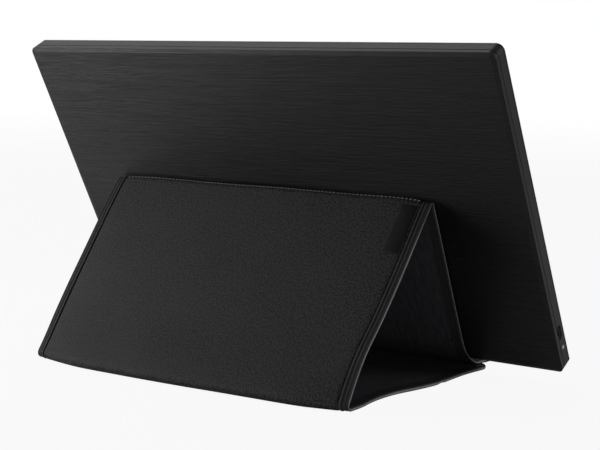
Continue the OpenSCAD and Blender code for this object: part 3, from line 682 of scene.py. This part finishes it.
def on_strip(s, x, n):
    """The same point, where the soft goods have pulled away from the boards."""
    out = eased(PULL_PLUS if x > 0 else PULL_MINUS, s) * step_up((abs(x) - PULL_FROM) / PULL_OVER)
    belly = eased(BELLY, x) * eased(BELLY_FADE, s)
    return board_point(s, x + out * math.copysign(1, x), n) + Vector((0, belly * MM, 0))


def step_up(t):
    t = min(1.0, max(0.0, t))
    return t * t * (3 - 2 * t)


# Length over which the lining draws in at each end of a fold.
DRAW_IN = {"bend": 14.0, "ridge": 1.6, "heel": 3.0}


def lining_level(s):
    """How far the lining side lies from the middle line: the boards end at the folds, where it draws in."""
    thin = 0.0
    for name, reach in DRAW_IN.items():
        low, high = begins(name), ends("bend_top" if name == "bend" else name)
        if low < s < high:
            thin = step_up(min(s - low, high - s) / reach)
    return -PANEL_T / 2 + thin * (PANEL_T - WEB_T)


def skin_level(s):
    """How far the skin lies from the middle line; it dips where the base creases."""
    middle = ends("base") - CREASE_AT - CREASE_W / 2
    return PANEL_T / 2 - CREASE_DIP * (1 - step_up(abs(s - middle) / (CREASE_W + 0.2)))


def wave(x, s):
    """Slow waves of leather that has been glued to a board and folded many times."""
    return (math.sin(x / 17.0 + s / 41.0) * math.sin(s / 23.0 + 0.7) +
            0.6 * math.sin(x / 9.5 - s / 13.0 + 1.3) * math.sin(x / 31.0 + 2.1)) * cover_look().waviness


def spaced(low, high, step):
    count = max(1, round((high - low) / step))
    return [low + (high - low) * k / count for k in range(count + 1)]


def blank(name, columns, rows):
    """A flat grid with this many columns and rows of points, as leather lies before it is folded."""
    bpy.ops.object.select_all(action="DESELECT")
    bpy.ops.mesh.primitive_grid_add(x_subdivisions=columns - 1, y_subdivisions=rows - 1, size=1)
    return named(bpy.context.object, name)


def lay(piece, columns, rows, place, cut):
    """Moves each point of a blank to its place. cut gives the point's place on the flat leather, in metres,
    which is kept as the UV map that the grain follows."""
    mesh = piece.data
    spots = [(round((v.co.x + 0.5) * (columns - 1)), round((v.co.y + 0.5) * (rows - 1))) for v in mesh.vertices]
    for vertex, spot in zip(mesh.vertices, spots):
        vertex.co = place(*spot)
    layer = mesh.uv_layers[0]
    layer.name = "flat"
    for loop in mesh.loops:
        u, v = cut(*spots[loop.vertex_index])
        layer.data[loop.index].uv = (u * MM, v * MM)


# Half of the skin's cross section, from the groove beside the bound edge to the field: distance from the
# panel's edge, and height over the skin's level. The edge tucks under the bound edge.
FIELD_EDGE = [(7.2, -0.8), (7.35, -0.5), (7.7, -0.2), (8.4, 0.0), (9.6, 0.14), (12.0, 0.32), (16.0, 0.5),
              (22.0, 0.63), (30.0, 0.7)]


def field_rise(s, u):
    """How far the leather stands over the skin's level, at u from the panel's edge. It lies flat where it rests
    on the table."""
    height = eased(FIELD_EDGE, u)
    return min(height, 0) + max(height, 0) / FIELD_EDGE[-1][1] * cover_look().crown * off_table(s)


def off_table(s):
    return eased([(begins("bend"), 0), (ends("bend"), 1), (begins("heel") - 12, 1), (ends("heel"), 0)], s)


def laid(name, points, rows, level):
    """A blank laid along the strip, at level(s, x) from the strip's middle line."""
    def place(i, j):
        return on_strip(rows[j], points[i], level(rows[j], points[i]))

    piece = blank(name, len(points), len(rows))
    lay(piece, len(points), len(rows), place, lambda i, j: (points[i], rows[j]))
    return piece


def soft_sheet(piece, thickness, key):
    """Gives laid leather or lining its thickness and its finish."""
    apply_modifier(piece, "SUBSURF", levels=1, render_levels=1)
    apply_modifier(piece, "SOLIDIFY", thickness=thickness * MM, offset=-1)
    smooth(piece, 50)
    dress(piece, key)
    return piece


def field_piece(name, low, high, step):
    """The leather of one panel or fold, between its bound edges."""
    side = [COVER_W / 2 - u for u, _ in FIELD_EDGE]
    points = [-x for x in side] + spaced(-side[-1] + 5, side[-1] - 5, 7.0) + side[::-1]

    def level(s, x):
        u = COVER_W / 2 - abs(x)
        # its waves fade towards the bound edges, and are low where it lies on the table
        inside = step_up((u - 8) / 20) * (0.3 + 0.7 * off_table(s))
        return skin_level(s) + field_rise(s, u) + wave(x, s) * inside

    return soft_sheet(laid(name, points, spaced(low, high, step), level), SKIN_T, "leather")


def board_piece(name, low, high, step):
    """A stiff board, bowed a little with the leather that is drawn round it."""
    points = spaced(BOARD_IN - COVER_W / 2, COVER_W / 2 - BOARD_IN, 10.0)
    piece = laid(name, points, spaced(low, high, step), lambda s, x: BOARD_TOP)
    apply_modifier(piece, "SOLIDIFY", thickness=BOARD_T * MM, offset=-1)
    apply_modifier(piece, "BEVEL", width=0.2 * MM, segments=1, limit_method="ANGLE")
    dress(piece, "board")
    return piece


def lining_piece(name, low, high, step):
    """The lining of one panel or fold, a little below the bound edges."""
    points = [-x for x in spaced(LINING_IN - COVER_W / 2, COVER_W / 2 - LINING_IN, 8.0)]
    piece = laid(name, points, spaced(low, high, step),
                 lambda s, x: lining_level(s) + 0.22 + 0.4 * wave(x + 50, s))
    return soft_sheet(piece, LINING_T, "lining")


def binding_section(top, bottom):
    """Closed cross section of a bound edge: distance from the panel's edge, height, and how much painted highlight
    its high places get. From the groove, over a bead and a sewn-down band, round the rim, and back under."""
    k = min(1.0, (top - bottom) / PANEL_T)
    edge = top + 0.2 * k
    r = (edge - bottom) / 2
    section = [(8.8, top - 1.5 * k, 0), (7.2, top - 1.4 * k, 0), (6.8, top - 1.2 * k, 0), (6.5, top - 0.6 * k, 0),
               (6.3, top, 0.06), (5.9, top + 0.2, 0.16), (5.4, top + 0.2, 0.16), (5.0, top - 0.1, 0),
               (4.7, top - 0.7 * k, 0), (4.1, top - 0.7 * k, 0), (3.5, top - 0.2 * k, 0.04),
               (2.6, top - 0.2 * k, 0.05), (2.0, top - 0.3 * k, 0.03), (1.5, top - 0.8 * k, 0)]
    # the rim's upper round gets a painted highlight; its lower round gets none and stays dark
    for step, shine in enumerate((0, 0.04, 0.25, 1, 0.15, 0, 0, 0)):
        angle = math.radians(60 - 20 * step)
        section.append((r - r * math.cos(angle), bottom + r + r * math.sin(angle), shine))
    section += [(3.2, bottom, 0.05), (5.2, bottom, 0.04), (6.7, bottom, 0.06), (7.3, bottom + 0.12, 0.14),
                (7.5, bottom + 0.4 * k, 0), (8.8, bottom + 0.55 * k, 0)]
    return section


def binding_piece(name, low, high, step, free_end=0):
    """Bound edges of one panel or fold. free_end is -1 or 1 where the binding also goes round the strip's
    first or last end."""
    half = COVER_W / 2
    if not free_end:
        paths = [[(side * half, s, -side, 0) for s in spaced(low, high, step)] for side in (-1, 1)]
    else:
        r = EDGE_CORNER
        end, start = (low, high) if free_end < 0 else (high, low)
        straight = spaced(start, end - free_end * r, step)
        path = [(half, s, -1, 0) for s in straight[:-1]]
        for corner in (0, 1):
            for turn in range(9):   # a quarter turn in eight steps
                a = math.radians(11.25 * turn)
                c, d = (math.cos(a), math.sin(a)) if not corner else (-math.sin(a), math.cos(a))
                cx = (half - r) * (1 if not corner else -1)
                path.append((cx + r * c, end - free_end * r + free_end * r * d, -c, -free_end * d))
            if not corner:
                path += [(x, end, 0, -free_end) for x in spaced(half - r, r - half, 8.0)[1:-1]]
        path += [(-half, s, 1, 0) for s in straight[::-1][1:]]
        paths = [path]
    made = []
    for path in paths:
        size = len(binding_section(1, -1))

        def place(i, j):
            x, s, dx, ds = path[j]
            u, n, _ = binding_section(skin_level(s), lining_level(s))[i % size]
            return on_strip(s + ds * u, x + dx * u, n)

        def cut(i, j):   # tape of its own, cut beside the leather of the field
            x, s, dx, ds = path[j]
            return (x + i * 0.6 + 300, s + (j if ds else 0))

        piece = blank(name, size + 1, len(path))
        # how much painted highlight each point of the section gets
        polish = [binding_section(1, -1)[i % size][2] for i in
                  [round((v.co.x + 0.5) * size) for v in piece.data.vertices]]
        lay(piece, size + 1, len(path), place, cut)
        piece.data.attributes.new("polish", "FLOAT", "POINT").data.foreach_set("value", polish)
        with editing(piece):
            bpy.ops.mesh.select_all(action="SELECT")
            bpy.ops.mesh.remove_doubles(threshold=0.00001)
        apply_modifier(piece, "SUBSURF", levels=1, render_levels=1)
        with editing(piece):
            bpy.ops.mesh.select_all(action="SELECT")
            bpy.ops.mesh.fill_holes(sides=0)
            bpy.ops.mesh.select_all(action="SELECT")
            bpy.ops.mesh.normals_make_consistent(inside=False)
        made.append(piece)
    piece = join(made[0], made[1:])
    named(piece, name)
    smooth(piece, 60)
    dress(piece, "edging")
    return piece


def across_fold(piece, first, last, n):
    """Bakes a piece's transform into its mesh. The strip's points at both ends of a fold are worked out, and not
    used.
    """
    board_point(begins(first), 0, n)
    board_point(ends(last), 0, n)
    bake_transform(piece)


def show(piece, node, body):
    """Shows a piece in place of one of the frame's nodes, carried by a body."""
    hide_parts(node)
    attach(piece, body)


# ---------------------------------------------------------------- operators: the cover

def on_panels(make, step, rows):
    """Makes one piece for each row of body, name, first and last place along the strip and replaced node."""
    for body, name, low, high, node, *more in rows:
        show(make(name, low, high, step, *more), node, body)
    return {"FINISHED"}


class COVER_OT_panels(bpy.types.Operator):
    """Lay the leather on the four stiff panels"""
    bl_idname = "cover.panels"
    bl_label = "Panel Leather"

    def execute(self, context):
        lap = FOLD_LAP
        return on_panels(field_piece, 3.0, (
            ("rest_flap", "flap_leather", begins("flap") + END_LAP, begins("bend") - lap, "flap_skin"),
            ("rear_panel", "rear_leather", begins("rear") + lap, ends("rear") - lap, "rear_panel_skin"),
            ("outer_panel", "outer_leather", begins("outer") + lap, ends("outer") - lap, "outer_panel_skin"),
            ("base_panel", "base_leather", begins("base") + lap, ends("base") - END_LAP, "base_skin"),
        ))


class COVER_OT_boards(bpy.types.Operator):
    """Put the stiff boards between leather and lining"""
    bl_idname = "cover.boards"
    bl_label = "Boards"

    def execute(self, context):
        crease = ends("base") - CREASE_AT - CREASE_W
        return on_panels(board_piece, 8.0, (
            ("rear_panel", "rear_board", begins("rear"), ends("rear"), "rear_panel_board"),
            ("outer_panel", "outer_board", begins("outer"), ends("outer"), "outer_panel_board"),
            ("base_panel", "base_rear_board", begins("base"), crease, "base_board_rear"),
        ))


class COVER_OT_linings(bpy.types.Operator):
    """Lay the lining inside the four stiff panels"""
    bl_idname = "cover.linings"
    bl_label = "Panel Lining"

    def execute(self, context):
        return on_panels(lining_piece, 6.0, (
            ("rest_flap", "flap_inner_lining", begins("flap") + END_LAP, begins("bend"), "flap_lining"),
            ("rear_panel", "rear_inner_lining", begins("rear"), ends("rear"), "rear_panel_lining"),
            ("outer_panel", "outer_inner_lining", begins("outer"), ends("outer"), "outer_panel_lining"),
            ("base_panel", "base_inner_lining", begins("base"), ends("base") - END_LAP, "base_lining"),
        ))


class COVER_OT_bindings(bpy.types.Operator):
    """Bind the edges of the four stiff panels"""
    bl_idname = "cover.bindings"
    bl_label = "Bound Edges"

    def execute(self, context):
        lap = FOLD_LAP
        return on_panels(binding_piece, 3.5, (
            ("rest_flap", "flap_edge", begins("flap"), begins("bend") - lap, "flap_binding", -1),
            ("rear_panel", "rear_edge", begins("rear") + lap, ends("rear") - lap, "rear_panel_binding"),
            ("outer_panel", "outer_edge", begins("outer") + lap, ends("outer") - lap, "outer_panel_binding"),
            ("base_panel", "base_edge", begins("base") + lap, ends("base"), "base_binding", 1),
        ))


class COVER_OT_folds(bpy.types.Operator):
    """Lay leather and lining round the three folds"""
    bl_idname = "cover.folds"
    bl_label = "Folds"

    def execute(self, context):
        for name, last, before, after, step in (
            ("bend", "bend_top", "rest_flap", "rear_panel", 1.4),
            ("ridge", "ridge", "rear_panel", "outer_panel", 0.7),
            ("heel", "heel", "outer_panel", "base_panel", 1.4),
        ):
            low, high = begins(name), ends(last)
            skin = field_piece(name + "_leather", low - FOLD_LAP, high + FOLD_LAP, step)
            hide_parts(name + "_web")
            across_fold(skin, name, last, PANEL_T / 2)
            inner = lining_piece(name + "_inner_lining", low, high, step)
            across_fold(inner, name, last, -PANEL_T / 2)
            edge = binding_piece(name + "_edge", low - FOLD_LAP, high + FOLD_LAP, step)
            across_fold(edge, name, last, PANEL_T / 2)
        return {"FINISHED"}


class COVER_OT_stitches(bpy.types.Operator):
    """Sew the row of stitches on top of the ridge"""
    bl_idname = "cover.stitches"
    bl_label = "Ridge Stitches"

    def execute(self, context):
        look = cover_look()
        bpy.ops.object.select_all(action="DESELECT")
        bpy.ops.mesh.primitive_cylinder_add(vertices=8, radius=look.thread_d / 2 * MM, depth=look.stitch_len * MM,
                                            rotation=(0, math.pi / 2, 0))
        stitch = bpy.context.object
        bpy.ops.object.transform_apply(location=False, rotation=True, scale=True)
        with editing(stitch):
            select(stitch, "FACE", lambda f: abs(f.normal.x) > 0.9)
            bpy.ops.mesh.inset(thickness=0.14 * MM)
            bpy.ops.transform.resize(value=(1.16, 1, 1))
        reach = look.stitch_len / 2 * MM
        for vertex in stitch.data.vertices:   # the ends sink into their holes, and lie a little slanted
            vertex.co.z -= 0.32 * MM * (abs(vertex.co.x) / reach) ** 3
            vertex.co.y += 0.05 * MM * vertex.co.x / reach
        smooth(stitch, 60)
        count = int((COVER_W - 2 * STITCH_IN) / look.stitch_pitch)
        s = (begins("ridge") + ends("ridge")) / 2 + 0.45   # the row lies a little to the outer panel's side
        row = []
        for k in range(count):
            made = copy_of(stitch, "stitch")
            x = (k - (count - 1) / 2) * look.stitch_pitch
            a = on_strip(s, x, PANEL_T / 2 + field_rise(s, COVER_W / 2 - abs(x)) + wave(x, s) + 0.25)
            up = (on_strip(s, x, 4) - on_strip(s, x, 0)).normalized()
            turn = Vector((0, 0, 1)).rotation_difference(up).to_matrix().to_4x4()
            skew = Matrix.Rotation(math.radians(1.5 * math.sin(k * 2.3)), 4, "Z")
            made.data.transform(Matrix.Translation(a) @ turn @ skew)
            row.append(made)
        bpy.data.objects.remove(stitch)
        piece = named(join(row[0], row[1:]), "ridge_stitches")
        dress(piece, "thread")
        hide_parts("ridge_stitching")
        across_fold(piece, "ridge", "ridge", PANEL_T / 2)
        return {"FINISHED"}


class COVER_OT_tag(bpy.types.Operator):
    """Sew the blank woven tag beside the bound edge"""
    bl_idname = "cover.tag"
    bl_label = "Woven Tag"

    def execute(self, context):
        look = cover_look()
        xs = spaced(-COVER_W / 2 + TAG_IN, -COVER_W / 2 + TAG_IN + look.tag_w, 0.8)
        rows = spaced(begins("outer") + 1.6, begins("outer") + 3 + look.tag_h, 1.0)

        def place(i, j):
            u, v = i / (len(xs) - 1), j / (len(rows) - 1)
            lift = 0.42 + 0.22 * math.sin(math.pi * u) ** 0.5 + 0.25 * step_up((v - 0.8) / 0.2)
            lift -= 0.3 * (1 - step_up(v / 0.12))
            ripple = 0.1 * math.sin(v * 9.0) * math.sin(math.pi * u)
            return on_strip(rows[j], xs[i], PANEL_T / 2 + field_rise(rows[j], COVER_W / 2 + xs[i]) + lift + ripple)

        piece = blank("woven_tag", len(xs), len(rows))
        lay(piece, len(xs), len(rows), place, lambda i, j: (xs[i], rows[j]))
        apply_modifier(piece, "SOLIDIFY", thickness=0.4 * MM, offset=-1)
        apply_modifier(piece, "SUBSURF", levels=1, render_levels=1)
        smooth(piece, 60)
        dress(piece, "tag")
        show(piece, "label_tag", "outer_panel")
        return {"FINISHED"}


# ---------------------------------------------------------------- operators: the monitor

def on_monitor():
    """From the monitor lying on its back to where it leans."""
    return (Matrix.Translation((0, SHIFT * MM, EDGE_Z * MM)) @
            Matrix.Rotation(math.pi / 2 - TILT, 4, "X"))


def box(name, centre, size):
    """A plain box, in millimetres."""
    bpy.ops.object.select_all(action="DESELECT")
    bpy.ops.mesh.primitive_cube_add(size=1, location=[c * MM for c in centre], scale=[c * MM for c in size])
    bpy.ops.object.transform_apply(location=True, rotation=True, scale=True)
    return named(bpy.context.object, name)


def round_edges(piece, axis, r, segments=8, wanted=lambda edge: True):
    """Rounds the edges of a box that run along one axis."""
    others = [k for k in range(3) if k != axis]
    with editing(piece):
        select(piece, "EDGE", lambda e: wanted(e) and all(
            abs(e.verts[0].co[k] - e.verts[1].co[k]) < 1e-6 for k in others))
        bpy.ops.mesh.bevel(offset=r * MM, segments=segments, affect="EDGES")


def plate(name, w, h, z0, z1, r, segments=10, lift=0.0):
    """A plate with round corners, lying on its back. lift moves it up the screen."""
    middle = MONITOR_H / 2 + lift
    piece = box(name, (0, middle, (z0 + z1) / 2), (w, h, z1 - z0))
    if r:
        for low, radius in ((False, r), (True, max(0.5, r - CORNER_R + LOWER_CORNER_R))):
            round_edges(piece, 2, radius, segments, lambda e: (e.verts[0].co.y < middle * MM) == low)
    return piece


def cut_away(piece, cutter):
    apply_modifier(piece, "BOOLEAN", operation="DIFFERENCE", object=cutter, solver="EXACT")
    bpy.data.objects.remove(cutter)


def soften(piece, width, segments=2, degrees=30):
    """Rounds the sharp edges a little, so that they catch the light, and keeps the flats flat."""
    alone(piece)
    bpy.ops.object.shade_smooth()
    apply_modifier(piece, "BEVEL", width=width * MM, segments=segments, limit_method="ANGLE",
                   angle_limit=math.radians(degrees), use_clamp_overlap=True)
    apply_modifier(piece, "WEIGHTED_NORMAL", weight=100, keep_sharp=True)


def fit(piece, finish, node, body="monitor"):
    """Stands a piece up with the monitor and shows it in place of a node."""
    piece.data.transform(on_monitor())
    piece.data.update()
    dress(piece, finish)
    show(piece, node, body)


class MONITOR_OT_back(bpy.types.Operator):
    """Mould the brushed back with its chamfer"""
    bl_idname = "monitor.back"
    bl_label = "Back Shell"

    def execute(self, context):
        look = monitor_look()
        top = SEAM_DEPTH - look.seam / 2
        drop = look.chamfer * CHAMFER_SLOPE
        piece = plate("back_shell", MONITOR_W, MONITOR_H, drop, top, CORNER_R)
        with editing(piece):
            select(piece, "FACE", lambda f: f.normal.z < -0.9)
            bpy.ops.mesh.inset(thickness=look.chamfer * MM)
            bpy.ops.transform.translate(value=(0, 0, -drop * MM))
            select(piece, "FACE", lambda f: f.normal.z > 0.9)
            bpy.ops.mesh.inset(thickness=SHELL_WALL * MM)
            hollow = top - drop - BACK_T
            bpy.ops.mesh.extrude_region_move(TRANSFORM_OT_translate={"value": (0, 0, -hollow * MM)})
        soften(piece, look.edge_r, 3, 12)
        walls = [abs(f.normal.z) < 0.5 for f in piece.data.polygons]
        fit(piece, "back_plastic", "rear_cover")
        piece.data.materials.append(finish_named("side_plastic"))   # its walls are plain, as the frame's are
        piece.data.polygons.foreach_set("material_index", walls)
        return {"FINISHED"}


class MONITOR_OT_sides(bpy.types.Operator):
    """Mould the side walls with the port's recess"""
    bl_idname = "monitor.sides"
    bl_label = "Side Walls"

    def execute(self, context):
        look = monitor_look()
        low, high = SEAM_DEPTH + look.seam / 2, MONITOR_T - BEZEL_T - look.bezel_seam / 2
        piece = plate("side_walls", MONITOR_W, MONITOR_H, low, high, CORNER_R)
        cut_away(piece, plate("inside", MONITOR_W - 2 * SHELL_WALL, MONITOR_H - 2 * SHELL_WALL, low - 1, high + 1,
                              CORNER_R - SHELL_WALL))
        cut_away(piece, slot_cutter(*PORT_RECESS, PORT_UP, PORT_DEPTH))
        cut_away(piece, slot_cutter(*PORT_HOLE, PORT_UP, PORT_DEPTH))
        cut_away(piece, slot_cutter(*LIGHT_HOLE, LIGHT_UP, LIGHT_DEPTH))
        soften(piece, look.edge_r * 0.7, 2)
        fit(piece, "side_plastic", "middle_frame")
        return {"FINISHED"}


def slot_cutter(w, t, depth, up, deep):
    """A bar with round ends that cuts a slot into the left wall."""
    cutter = box("slot", (-MONITOR_W / 2, up, deep), (2 * depth, w, t))
    round_edges(cutter, 0, t / 2 - 0.02)
    return cutter


def key_outline(x, grow, z0, z1):
    """A bar with round ends at a key's place."""
    w, h = KEY_W + 2 * grow, KEY_H + 2 * grow
    bar = box("key", (x, KEY_UP, (z0 + z1) / 2), (w, h, z1 - z0))
    round_edges(bar, 2, h / 2 - 0.02)
    return bar


class MONITOR_OT_bezel(bpy.types.Operator):
    """Mould the front bezel with its window and key holes"""
    bl_idname = "monitor.bezel"
    bl_label = "Front Bezel"

    def execute(self, context):
        look = monitor_look()
        low = MONITOR_T - BEZEL_T + look.bezel_seam / 2
        piece = plate("front_frame", MONITOR_W, MONITOR_H, low, MONITOR_T, CORNER_R)
        window = plate("window", MONITOR_W - 2 * SIDE_BORDER, MONITOR_H - TOP_BORDER - CHIN, low - 1,
                       MONITOR_T + 1, 0.6, 3, (CHIN - TOP_BORDER) / 2)
        cut_away(piece, window)
        for x in KEY_X:
            cut_away(piece, key_outline(x, KEY_GAP, low - 1, MONITOR_T + 1))
        soften(piece, 0.35, 3)
        fit(piece, "bezel_plastic", "front_bezel")
        return {"FINISHED"}


class MONITOR_OT_keys(bpy.types.Operator):
    """Mould the two keys with their soft edges"""
    bl_idname = "monitor.keys"
    bl_label = "Keys"

    def execute(self, context):
        behind_bezel = MONITOR_T - BEZEL_T
        for x, node in zip(KEY_X, ("power_key", "menu_key")):
            piece = key_outline(x, 0, behind_bezel - KEY_FOOT, MONITOR_T + KEY_STANDS)
            named(piece, node + "_cap")
            with editing(piece):
                select(piece, "FACE", lambda f: f.normal.z > 0.9)
                bpy.ops.mesh.inset(thickness=0.5 * MM)
                bpy.ops.transform.translate(value=(0, 0, -KEY_DISH * MM))
            join(piece, [key_outline(x, KEY_FLANGE, behind_bezel - KEY_FOOT, behind_bezel - 0.05)])
            soften(piece, 0.2, 2)
            fit(piece, "key_plastic", node, node)
        return {"FINISHED"}


class MONITOR_OT_nodes(bpy.types.Operator):
    """Give every piece of the frame that still shows its real finish"""
    bl_idname = "monitor.nodes"
    bl_label = "Frame Finishes"

    def execute(self, context):
        slots = {part["node"]: part["material_slot"] for part in frame["record"]["subparts"]}
        for node, piece in frame["nodes"].items():
            if piece.hide_render:
                continue
            material = finish_named(slots[node])
            if not piece.material_slots:
                piece.data.materials.append(material)
            for used in piece.material_slots:
                used.material = material
        return {"FINISHED"}


# ---------------------------------------------------------------- operator: the stage

WHITE = (1.0, 1.0, 1.0, 1.0)
# Name, place, what it points at, width and height, in metres, and the property that holds its power.
SOFTBOXES = (
    ("left_softbox", (0.44, 0.3, 0.42), (0.05, 0.05, 0.05), 0.35, 0.35, "key_power"),
    ("low_softbox", (0.44, 0.42, 0.14), (0.05, 0.08, 0.08), 0.3, 0.2, "low_power"),
    ("right_strip", (-1.2, -0.3, 0.45), (-0.1, 0.0, 0.1), 0.3, 0.8, "side_power"),
    ("fill", (-0.95, 0.8, 0.25), (-0.1, 0.0, 0.05), 0.4, 0.25, "fill_power"),
    ("top_softbox", (0.82, -0.5, 1.02), (0.6, 0.1, 0.1), 1.5, 0.5, "top_power"),
)
# Solved from the photo, in metres and radians.
CAMERA_PLACE = (-0.574518, 0.812981, 0.210849)
CAMERA_TURN = (1.45387897, -0.01622045, -2.52162398)
FLOOR_R = 9.0
FLOOR_DROP = 0.0004   # the floor lies this much lower, so that it shares no plane with the cover's underside


def seen_directly(tree, shine, plain=1.0):
    """plain for what the camera or clear plastic sees of the white studio, and shine for what glossy faces see."""
    rays = add_node(tree, "LightPath").outputs
    clear = add_node(tree, "Math", {0: rays["Is Camera Ray"], 1: rays["Is Transmission Ray"]}, operation="MAXIMUM")
    direct = add_node(tree, "Math", {0: clear, 1: plain}, operation="MULTIPLY")
    return add_node(tree, "Math", {0: rays["Is Glossy Ray"], 1: shine, 2: direct}, operation="MULTIPLY_ADD",
                    use_clamp=True)


def empty_tree(owner):
    owner.use_nodes = True
    owner.node_tree.nodes.clear()
    return owner.node_tree


def mix_out(tree, shown, kind, hidden, direct):
    """Sends hidden or, where shown is 1, direct to the output of a floor or a world."""
    mixed = add_node(tree, "MixShader", {0: shown, 1: hidden.outputs[0], 2: direct.outputs[0]})
    add_node(tree, kind, {"Surface": mixed.outputs[0]})


def big_light(name, place, aim, w, h, power):
    data = bpy.data.lights.new(name, "AREA")
    data.shape, data.size, data.size_y, data.energy = "RECTANGLE", w, h, power
    light = bpy.data.objects.new(name, data)
    bpy.context.collection.objects.link(light)
    light.location = place
    light.rotation_mode = "QUATERNION"
    light.rotation_quaternion = (Vector(aim) - Vector(place)).to_track_quat("-Z", "Y")


class STAGE_OT_studio(bpy.types.Operator):
    """Set up the pale floor, the white background, the soft lights and the camera"""
    bl_idname = "stage.studio"
    bl_label = "Studio"

    def execute(self, context):
        look = bpy.context.scene.stage_look
        bpy.ops.object.select_all(action="DESELECT")
        bpy.ops.mesh.primitive_circle_add(vertices=96, radius=FLOOR_R, fill_type="NGON",
                                          location=(0, 0, -FLOOR_DROP))
        floor = named(bpy.context.object, "floor")
        material = bpy.data.materials.new("white floor")
        tree = empty_tree(material)
        # white to the camera, and a little less near the object, so that its shadow shows
        place = add_node(tree, "TexCoord").outputs["Object"]
        away = add_node(tree, "VectorMath", {0: place}, operation="LENGTH").outputs["Value"]
        plain = add_node(tree, "MapRange",
                         {"Value": away, "From Min": 0.3, "From Max": 5.0, "To Min": 0.92, "To Max": 1.0},
                         interpolation_type="SMOOTHSTEP").outputs[0]
        paint = add_node(tree, "BsdfDiffuse", {"Color": linear("#f2f2f2")})
        glow = add_node(tree, "Emission", {"Color": WHITE, "Strength": 1.0})
        mix_out(tree, seen_directly(tree, look.floor_shine, plain), "OutputMaterial", paint, glow)
        floor.data.materials.append(material)

        world = bpy.data.worlds.new("studio")
        bpy.context.scene.world = world
        tree = empty_tree(world)
        even = add_node(tree, "Background", {"Color": WHITE, "Strength": look.ambient})
        white = add_node(tree, "Background", {"Color": WHITE, "Strength": 1.0})
        mix_out(tree, seen_directly(tree, look.wall_shine), "OutputWorld", even, white)

        for name, place, aim, w, h, power in SOFTBOXES:
            big_light(name, place, aim, w, h, getattr(look, power))

        camera = bpy.data.objects.new("camera", bpy.data.cameras.new("camera"))
        bpy.context.collection.objects.link(camera)
        camera.data.sensor_width = 36.0
        camera.data.lens = look.lens
        camera.location = CAMERA_PLACE
        camera.rotation_euler = CAMERA_TURN
        bpy.context.scene.camera = camera
        bpy.context.scene.view_settings.view_transform = "Standard"
        return {"FINISHED"}


class MONITOR_PT_looks(bpy.types.Panel):
    """Lists the steps that build the looks"""
    bl_label = "Monitor and Cover"
    bl_idname = "MONITOR_PT_looks"
    bl_space_type = "VIEW_3D"
    bl_region_type = "UI"
    bl_category = "Monitor"

    def draw(self, context):
        for group in (context.scene.cover_look, context.scene.monitor_look, context.scene.stage_look):
            box = self.layout.box()
            for key in group.__annotations__:
                box.prop(group, key)
        for step in STEPS:
            self.layout.operator(step.bl_idname)


STEPS = (
    COVER_OT_panels, COVER_OT_boards, COVER_OT_linings, COVER_OT_bindings, COVER_OT_folds, COVER_OT_stitches,
    COVER_OT_tag,
    MONITOR_OT_back, MONITOR_OT_sides, MONITOR_OT_bezel, MONITOR_OT_keys, MONITOR_OT_nodes, STAGE_OT_studio,
)
GROUPS = {"cover_look": CoverLook, "monitor_look": MonitorLook, "stage_look": StageLook}


def register():
    for kind in (*GROUPS.values(), *STEPS, MONITOR_PT_looks):
        bpy.utils.register_class(kind)
    for key, kind in GROUPS.items():
        setattr(bpy.types.Scene, key, bpy.props.PointerProperty(type=kind))


def unregister():
    for key in GROUPS:
        delattr(bpy.types.Scene, key)
    for kind in reversed((*GROUPS.values(), *STEPS, MONITOR_PT_looks)):
        bpy.utils.unregister_class(kind)


def main():
    register()
    for step in STEPS:
        area, name = step.bl_idname.split(".")
        getattr(getattr(bpy.ops, area), name)()


if __name__ == "__main__":
    main()
